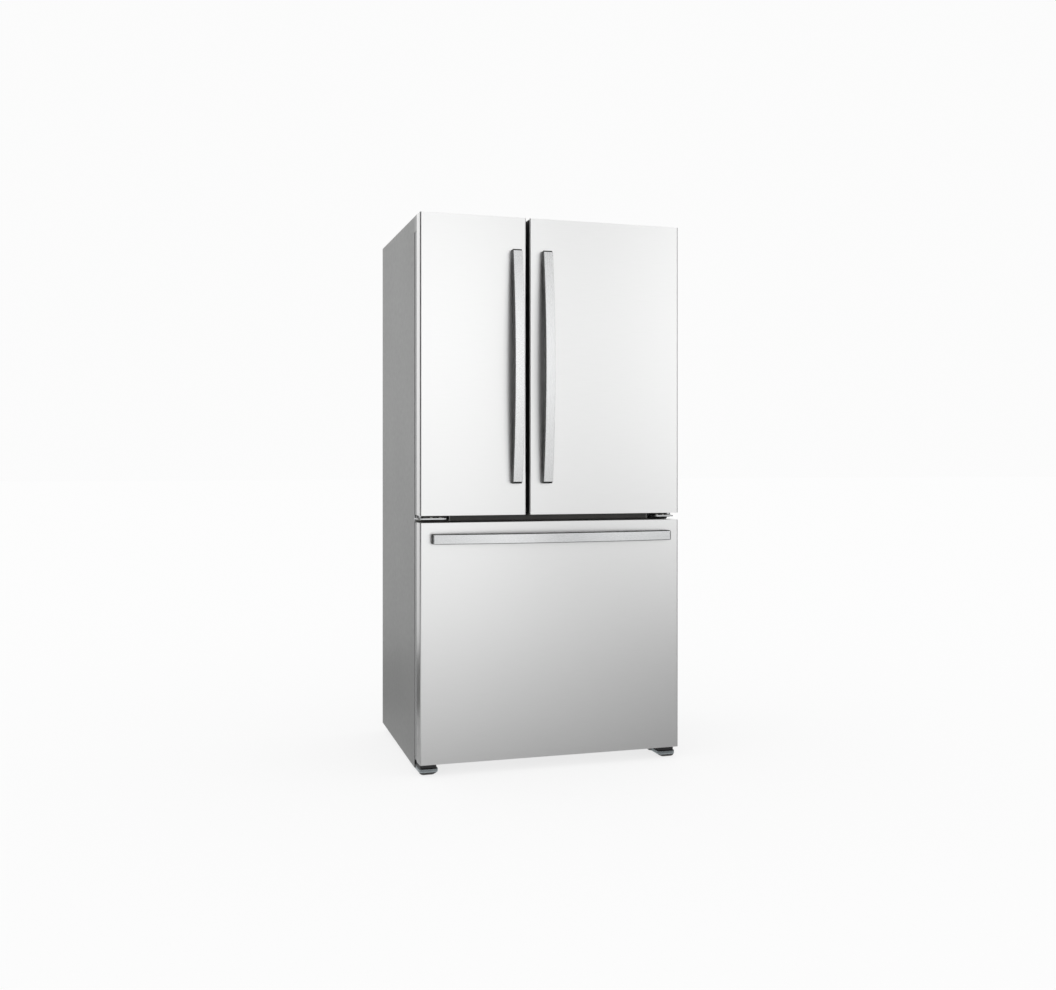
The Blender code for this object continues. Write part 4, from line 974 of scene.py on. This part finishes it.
def crisper(word):
    """A clear vegetable drawer with rounded corners, a flanged rim, and a moulded front handle."""
    node = body = word + "_crisper"
    low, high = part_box(node)
    front = low.y
    low += Y * 0.003  # room for the handle in front
    bm = bmesh.new()
    shell_box(bm, low, high, 0.016, 0.0025, 0.006)
    piece(node + "_shell", bm, body, clear_plastic, stands_for=(node,))
    edge = bmesh.new()
    rim(edge, low, high, 0.0028, 0.0016, 0.015, rounded_section(0.0032, 0.0056, 0.0013))
    piece(node + "_rim", edge, body, clear_rim)
    pull = bmesh.new()
    grip = [
        (0.0, -0.017), (0.0, 0.008), (0.0018, 0.0095), (0.0030, 0.008), (0.0030, -0.0125), (0.0022, -0.017),
    ]
    stops = (low.x + 0.05, (low.x + high.x) / 2, high.x - 0.05)
    bar(pull, 0, stops, (0, front + 0.0034, high.z - 0.012), grip, Z)
    piece(node + "_pull", pull, body, fitting_white, 0.0006)


def liner():
    """Moulded ribs on the liner's sides and on its back beside the duct."""
    dress(liner_white, "fridge_liner", "freezer_liner", bevel=0.0008)
    for side, word in SIDES:
        ribs = bmesh.new()
        for z_low, z_high in BAYS:
            for part in (0.25, 0.5, 0.75):
                place = (side * LINER_WALL, 0, z_low + (z_high - z_low) * part)
                bar(ribs, 1, (FRONT + 0.24, 0.1, 0.26), place, ridge(0.0035, 0.0018, 0.0016), X * -side)
        piece(word + "_liner_ribs", ribs, "cabinet", liner_white, 0.0006)
    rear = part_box("air_duct")[1].y
    ribs = bmesh.new()
    for z in (1.180, 1.380):
        for side in (-1, 1):
            stops = (side * 0.100, side * 0.2, side * 0.330)
            bar(ribs, 0, stops, (0, rear, z), ridge(0.003, 0.0015, 0.0014), -Y)
    piece("liner_back_ribs", ribs, "cabinet", liner_white, 0.0006)


def duct():
    """A raised field on the air duct's face, and sloped blades in its outlets."""
    dress(fitting_white, "air_duct", bevel=0.0015, segments=3)
    low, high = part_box("air_duct")
    centre, half = (low + high) / 2, (high - low) / 2
    centre.y = low.y
    bm = bmesh.new()
    path = loop(centre, X, Z, half.x - 0.009, half.z - 0.012, 0.012)
    sweep(bm, path, ridge(0.003, 0.0012, 0.0014), -Y, closed=True)
    for level in OUTLETS:
        for x in (-0.035, 0.035):
            for z in (level + 0.0035, level + 0.0080):
                corner = (x + 0.0195, low.y + 0.0028, z + 0.0009)
                blade(bm, (x - 0.0195, low.y + 0.0002, z), corner, (x, low.y + 0.0015, z), math.degrees(-0.5))
    piece("air_duct_grilles", bm, "cabinet", fitting_white)


def lamp():
    """The lamp's ribbed lens, and five blank keys on the control housing's lower front."""
    dress(fitting_white, "control_panel", bevel=0.0012, segments=3)
    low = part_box("control_panel")[0]
    lens = bmesh.new()
    y, z = FRONT + 0.3125, low.z + 0.0022
    for i in range(14):
        x = -0.0575 + i * 0.0083
        box(lens, (x, y - 0.0265, z - 0.0012), (x + 0.0075, y + 0.0265, z + 0.0018))
    box(lens, (-0.0592, y - 0.0272, z + 0.0016), (0.0592, y + 0.0272, z + 0.0034))
    piece("lamp_lens", lens, "cabinet", lamp_lens, 0.0006)
    keys = bmesh.new()
    key = [(0.0, -0.0004), (0.0062, -0.0004), (0.0062, 0.0006), (0.0052, 0.0012), (0.0, 0.0014)]
    for i in range(5):
        lathe(keys, key, (-0.060 + i * 0.030, FRONT + 0.255, low.z), -Z)
    piece("control_keys", keys, "cabinet", key_grey)


# --- Freezer -------------------------------------------------------------------------------------

THICK, THIN = 0.0032, 0.0016  # the basket wires' radii
SIDE_FACE = 0.3405  # inner face of the drawer's sides
RUNNER_X, RUNNER_Z = 0.3665, 0.360
EVAPORATOR_ROWS = (0.370, 0.400, 0.430, 0.460)  # the feet of the slots in the evaporator's cover


def hoop(axis, place, low, high, radius, top):
    """A U of wire across a basket: down one side, over the floor and up the other."""
    start, end = (low.y, high.y) if axis == "x" else (low.x, high.x)
    half = [(start, top), (start, low.z + radius)]
    for i in range(1, 6):
        turn = math.pi / 2 * i / 6
        half.append((start + radius * (1 - math.cos(turn)), low.z + radius * (1 - math.sin(turn))))
    half.append((start + radius, low.z))
    flat = half + [(start + end - a, b) for a, b in reversed(half)]
    return [Vector((place, a, b)) if axis == "x" else Vector((a, place, b)) for a, b in flat]


def basket():
    """A basket of white coated wire, in place of the plain one."""
    low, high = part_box("freezer_basket")
    low = low + Vector((THICK, THICK, THIN))
    high = high - Vector((THICK, THICK, THICK))
    centre, half = (low + high) / 2, (high - low) / 2
    bm = bmesh.new()
    for z, radius in ((high.z, THICK), (low.z + 0.16, THIN), (low.z + 0.10, THIN), (low.z + 0.05, THIN)):
        wire(bm, loop(Vector((centre.x, centre.y, z)), X, Y, half.x, half.y, 0.022), radius, Z, closed=True)
    inset = Vector((THIN * 1.8, THIN * 1.8, 0))
    for i in range(21):
        x = low.x + 0.030 + i * (high.x - low.x - 0.060) / 20
        wire(bm, hoop("x", x, low + inset, high - inset, 0.016, high.z), THIN, X)
    for i in range(9):
        y = low.y + 0.030 + i * (high.y - low.y - 0.060) / 8
        wire(bm, hoop("y", y, low + inset + Z * 0.0028, high - inset, 0.016, high.z), THIN, Y)
    name = "freezer_basket"
    piece(name + "_wires", bm, "freezer_drawer", fitting_white, stands_for=(name,))


def tray():
    name = "freezer_tray"
    low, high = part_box(name)
    bm = bmesh.new()
    shell_box(bm, low, high, 0.018, 0.0026, 0.004)
    piece(name + "_shell", bm, name, fitting_white, stands_for=(name,))
    edge = bmesh.new()
    rim(edge, low, high, 0.003, 0.0018, 0.017, rounded_section(0.0034, 0.006, 0.0014))
    stops = (low.y + 0.01, (low.y + high.y) / 2, high.y - 0.01)
    for x in (-0.11, 0.11):
        bar(edge, 1, stops, (x, 0, low.z + 0.0032), rounded_section(0.0016, 0.0030, 0.0006, 2), Z)
    piece(name + "_rim", edge, name, fitting_white)
    pull = bmesh.new()
    stops, place = (-0.07, -0.03, 0.03, 0.07), (0, high.y - 0.006, high.z - 0.010)
    bar(pull, 0, stops, place, rounded_section(0.007, 0.003, 0.0012), Z)
    piece(name + "_pull", pull, name, key_grey)


def slides():
    """Pressed beads, rollers and screws on the drawer's sides."""
    roller = [
        (0.0, -0.0016), (0.0062, -0.0016), (0.0070, -0.0008), (0.0070, 0.0008), (0.0062, 0.0016),
        (0.0, 0.0016),
    ]
    for side, word in SIDES:
        name = word + "_drawer_side"
        dress(galvanised, word + "_drawer_rail", name, bevel=0.0005)
        low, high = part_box(name)
        face = side * SIDE_FACE
        beads = bmesh.new()
        for z in (0.392, 0.430, 0.468):
            stops = (low.y + 0.03, 0.0, high.y - 0.06)
            bar(beads, 1, stops, (face, 0, z), ridge(0.003, 0.0015, 0.0012), X * -side)
        piece(name + "_beads", beads, "freezer_drawer", galvanised, 0.0004)
        rollers = bmesh.new()
        for y in (high.y - 0.012, high.y - 0.10):
            lathe(rollers, roller, (side * RUNNER_X, y, RUNNER_Z), X)
        piece(word + "_runner_rollers", rollers, "freezer_drawer", fitting_white)
        places = [(face, low.y + 0.018, z) for z in (0.372, 0.445)]
        screws(name + "_screws", "freezer_drawer", zinc, X * -side, places, 0.004, 0.0014)


def drawer_front():
    seal("drawer_gasket", "freezer_drawer")
    beads = bmesh.new()
    fields(beads, DRAWER_FIELDS, 0.0, 0.30, 0.022, 0.0002)
    piece("drawer_panel_beads", beads, "freezer_drawer", door_liner)


def evaporator():
    """The guard over the fan, the cover's sloped blades, and its screws."""
    dress(fitting_white, "evaporator_cover", bevel=0.0012, segments=3)
    dress(black_plastic, "evaporator_fan", bevel=0.0004)
    low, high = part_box("evaporator_cover")
    fan_low, fan_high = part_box("evaporator_fan")
    centre = (fan_low + fan_high) / 2
    centre.y = low.y - 0.0015
    guard = bmesh.new()
    for radius in (0.0575, 0.046, 0.034, 0.022, 0.011):
        wire(guard, loop(centre, Z, X, radius, radius, radius, 12), 0.0011, Y, closed=True, sides=6)
    for turn in turns_of(8):
        out = X * math.cos(turn) + Z * math.sin(turn)
        wire(guard, [centre - Y * 0.0016 + out * r for r in (0.006, 0.03, 0.0595)], 0.0010, Y, sides=6)
    hub = [(0.0, -0.002), (0.0105, -0.002), (0.0115, 0.0), (0.0105, 0.0012), (0.0, 0.002)]
    lathe(guard, hub, centre, -Y)
    piece("fan_guard", guard, "cabinet", fitting_white)
    blades = bmesh.new()
    for side in (-1, 1):
        left, right = sorted((side * 0.081, side * 0.269))
        for z in EVAPORATOR_ROWS:
            corner, pivot = (right, low.y + 0.0014, z + 0.0095), (0, low.y + 0.001, z + 0.005)
            blade(blades, (left, low.y + 0.0004, z + 0.003), corner, pivot, -28)
    piece("evaporator_cover_blades", blades, "cabinet", fitting_white, 0.0003)
    places = [(x, low.y, z) for x in (-0.31, 0.31) for z in (low.z + 0.02, high.z - 0.02)]
    screws("evaporator_cover_screws", "cabinet", zinc, -Y, places, 0.0045, 0.0016)


# --- Machine space -------------------------------------------------------------------------------

COMPRESSOR_X, COMPRESSOR_Y = 0.200, BACK - 0.112


def machine_space():
    """The compressor's bolts, grommets, terminal cover and tubes."""
    dress(compressor_black, "compressor", bevel=0.0008)
    dress(black_plastic, "drip_tray", bevel=0.0006)
    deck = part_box("compressor")[0].z
    x, y = COMPRESSOR_X, COMPRESSOR_Y
    corners = [(x + a, y + b, deck + 0.006) for a in (-0.078, 0.078) for b in (-0.050, 0.050)]
    bolts("compressor_bolts", "cabinet", corners, 0.005, 0.004)
    sleeve = bmesh.new()
    for place in corners:
        outline = [(0.0078, -0.0002), (0.0098, -0.0002), (0.0098, 0.0020), (0.0078, 0.0020)]
        turned_ring(sleeve, outline, place, Z, 20)
    piece("compressor_grommets", sleeve, "cabinet", rubber, 0.0004)
    cover = bmesh.new()
    box(cover, (x + 0.068, y - 0.026, deck + 0.060), (x + 0.090, y + 0.026, deck + 0.112))
    box(cover, (x + 0.089, y - 0.019, deck + 0.068), (x + 0.0925, y + 0.019, deck + 0.104))
    piece("compressor_terminal_cover", cover, "cabinet", black_plastic, 0.003, 3)
    start = Vector((x - 0.090, y, 0.110))
    steps = ((-0.02, 0, 0.004), (-0.03, -0.01, 0.03), (-0.03, -0.02, 0.09), (-0.03, -0.06, 0.12))
    tube("suction_tube", start, steps, 0.0042, copper)
    start = Vector((x - 0.045, y + 0.045, deck + 0.06))
    steps = ((-0.02, 0.018, 0.002), (-0.06, 0.022, 0.02), (-0.09, 0.012, 0.07), (-0.10, -0.04, 0.12))
    tube("discharge_tube", start, steps, 0.0026, copper)
    start = Vector((x + 0.030, y + 0.058, deck + 0.05))
    steps = ((0.006, 0.016, 0.004), (0.012, 0.020, 0.03))
    tube("process_tube", start, steps, 0.0030, copper)


studio()
outside()
case()
back()
hinges()
strip()
feet()
door_inside()
shelves()
crisper("left")
crisper("right")
liner()
duct()
lamp()
basket()
tray()
slides()
drawer_front()
evaporator()
machine_space()
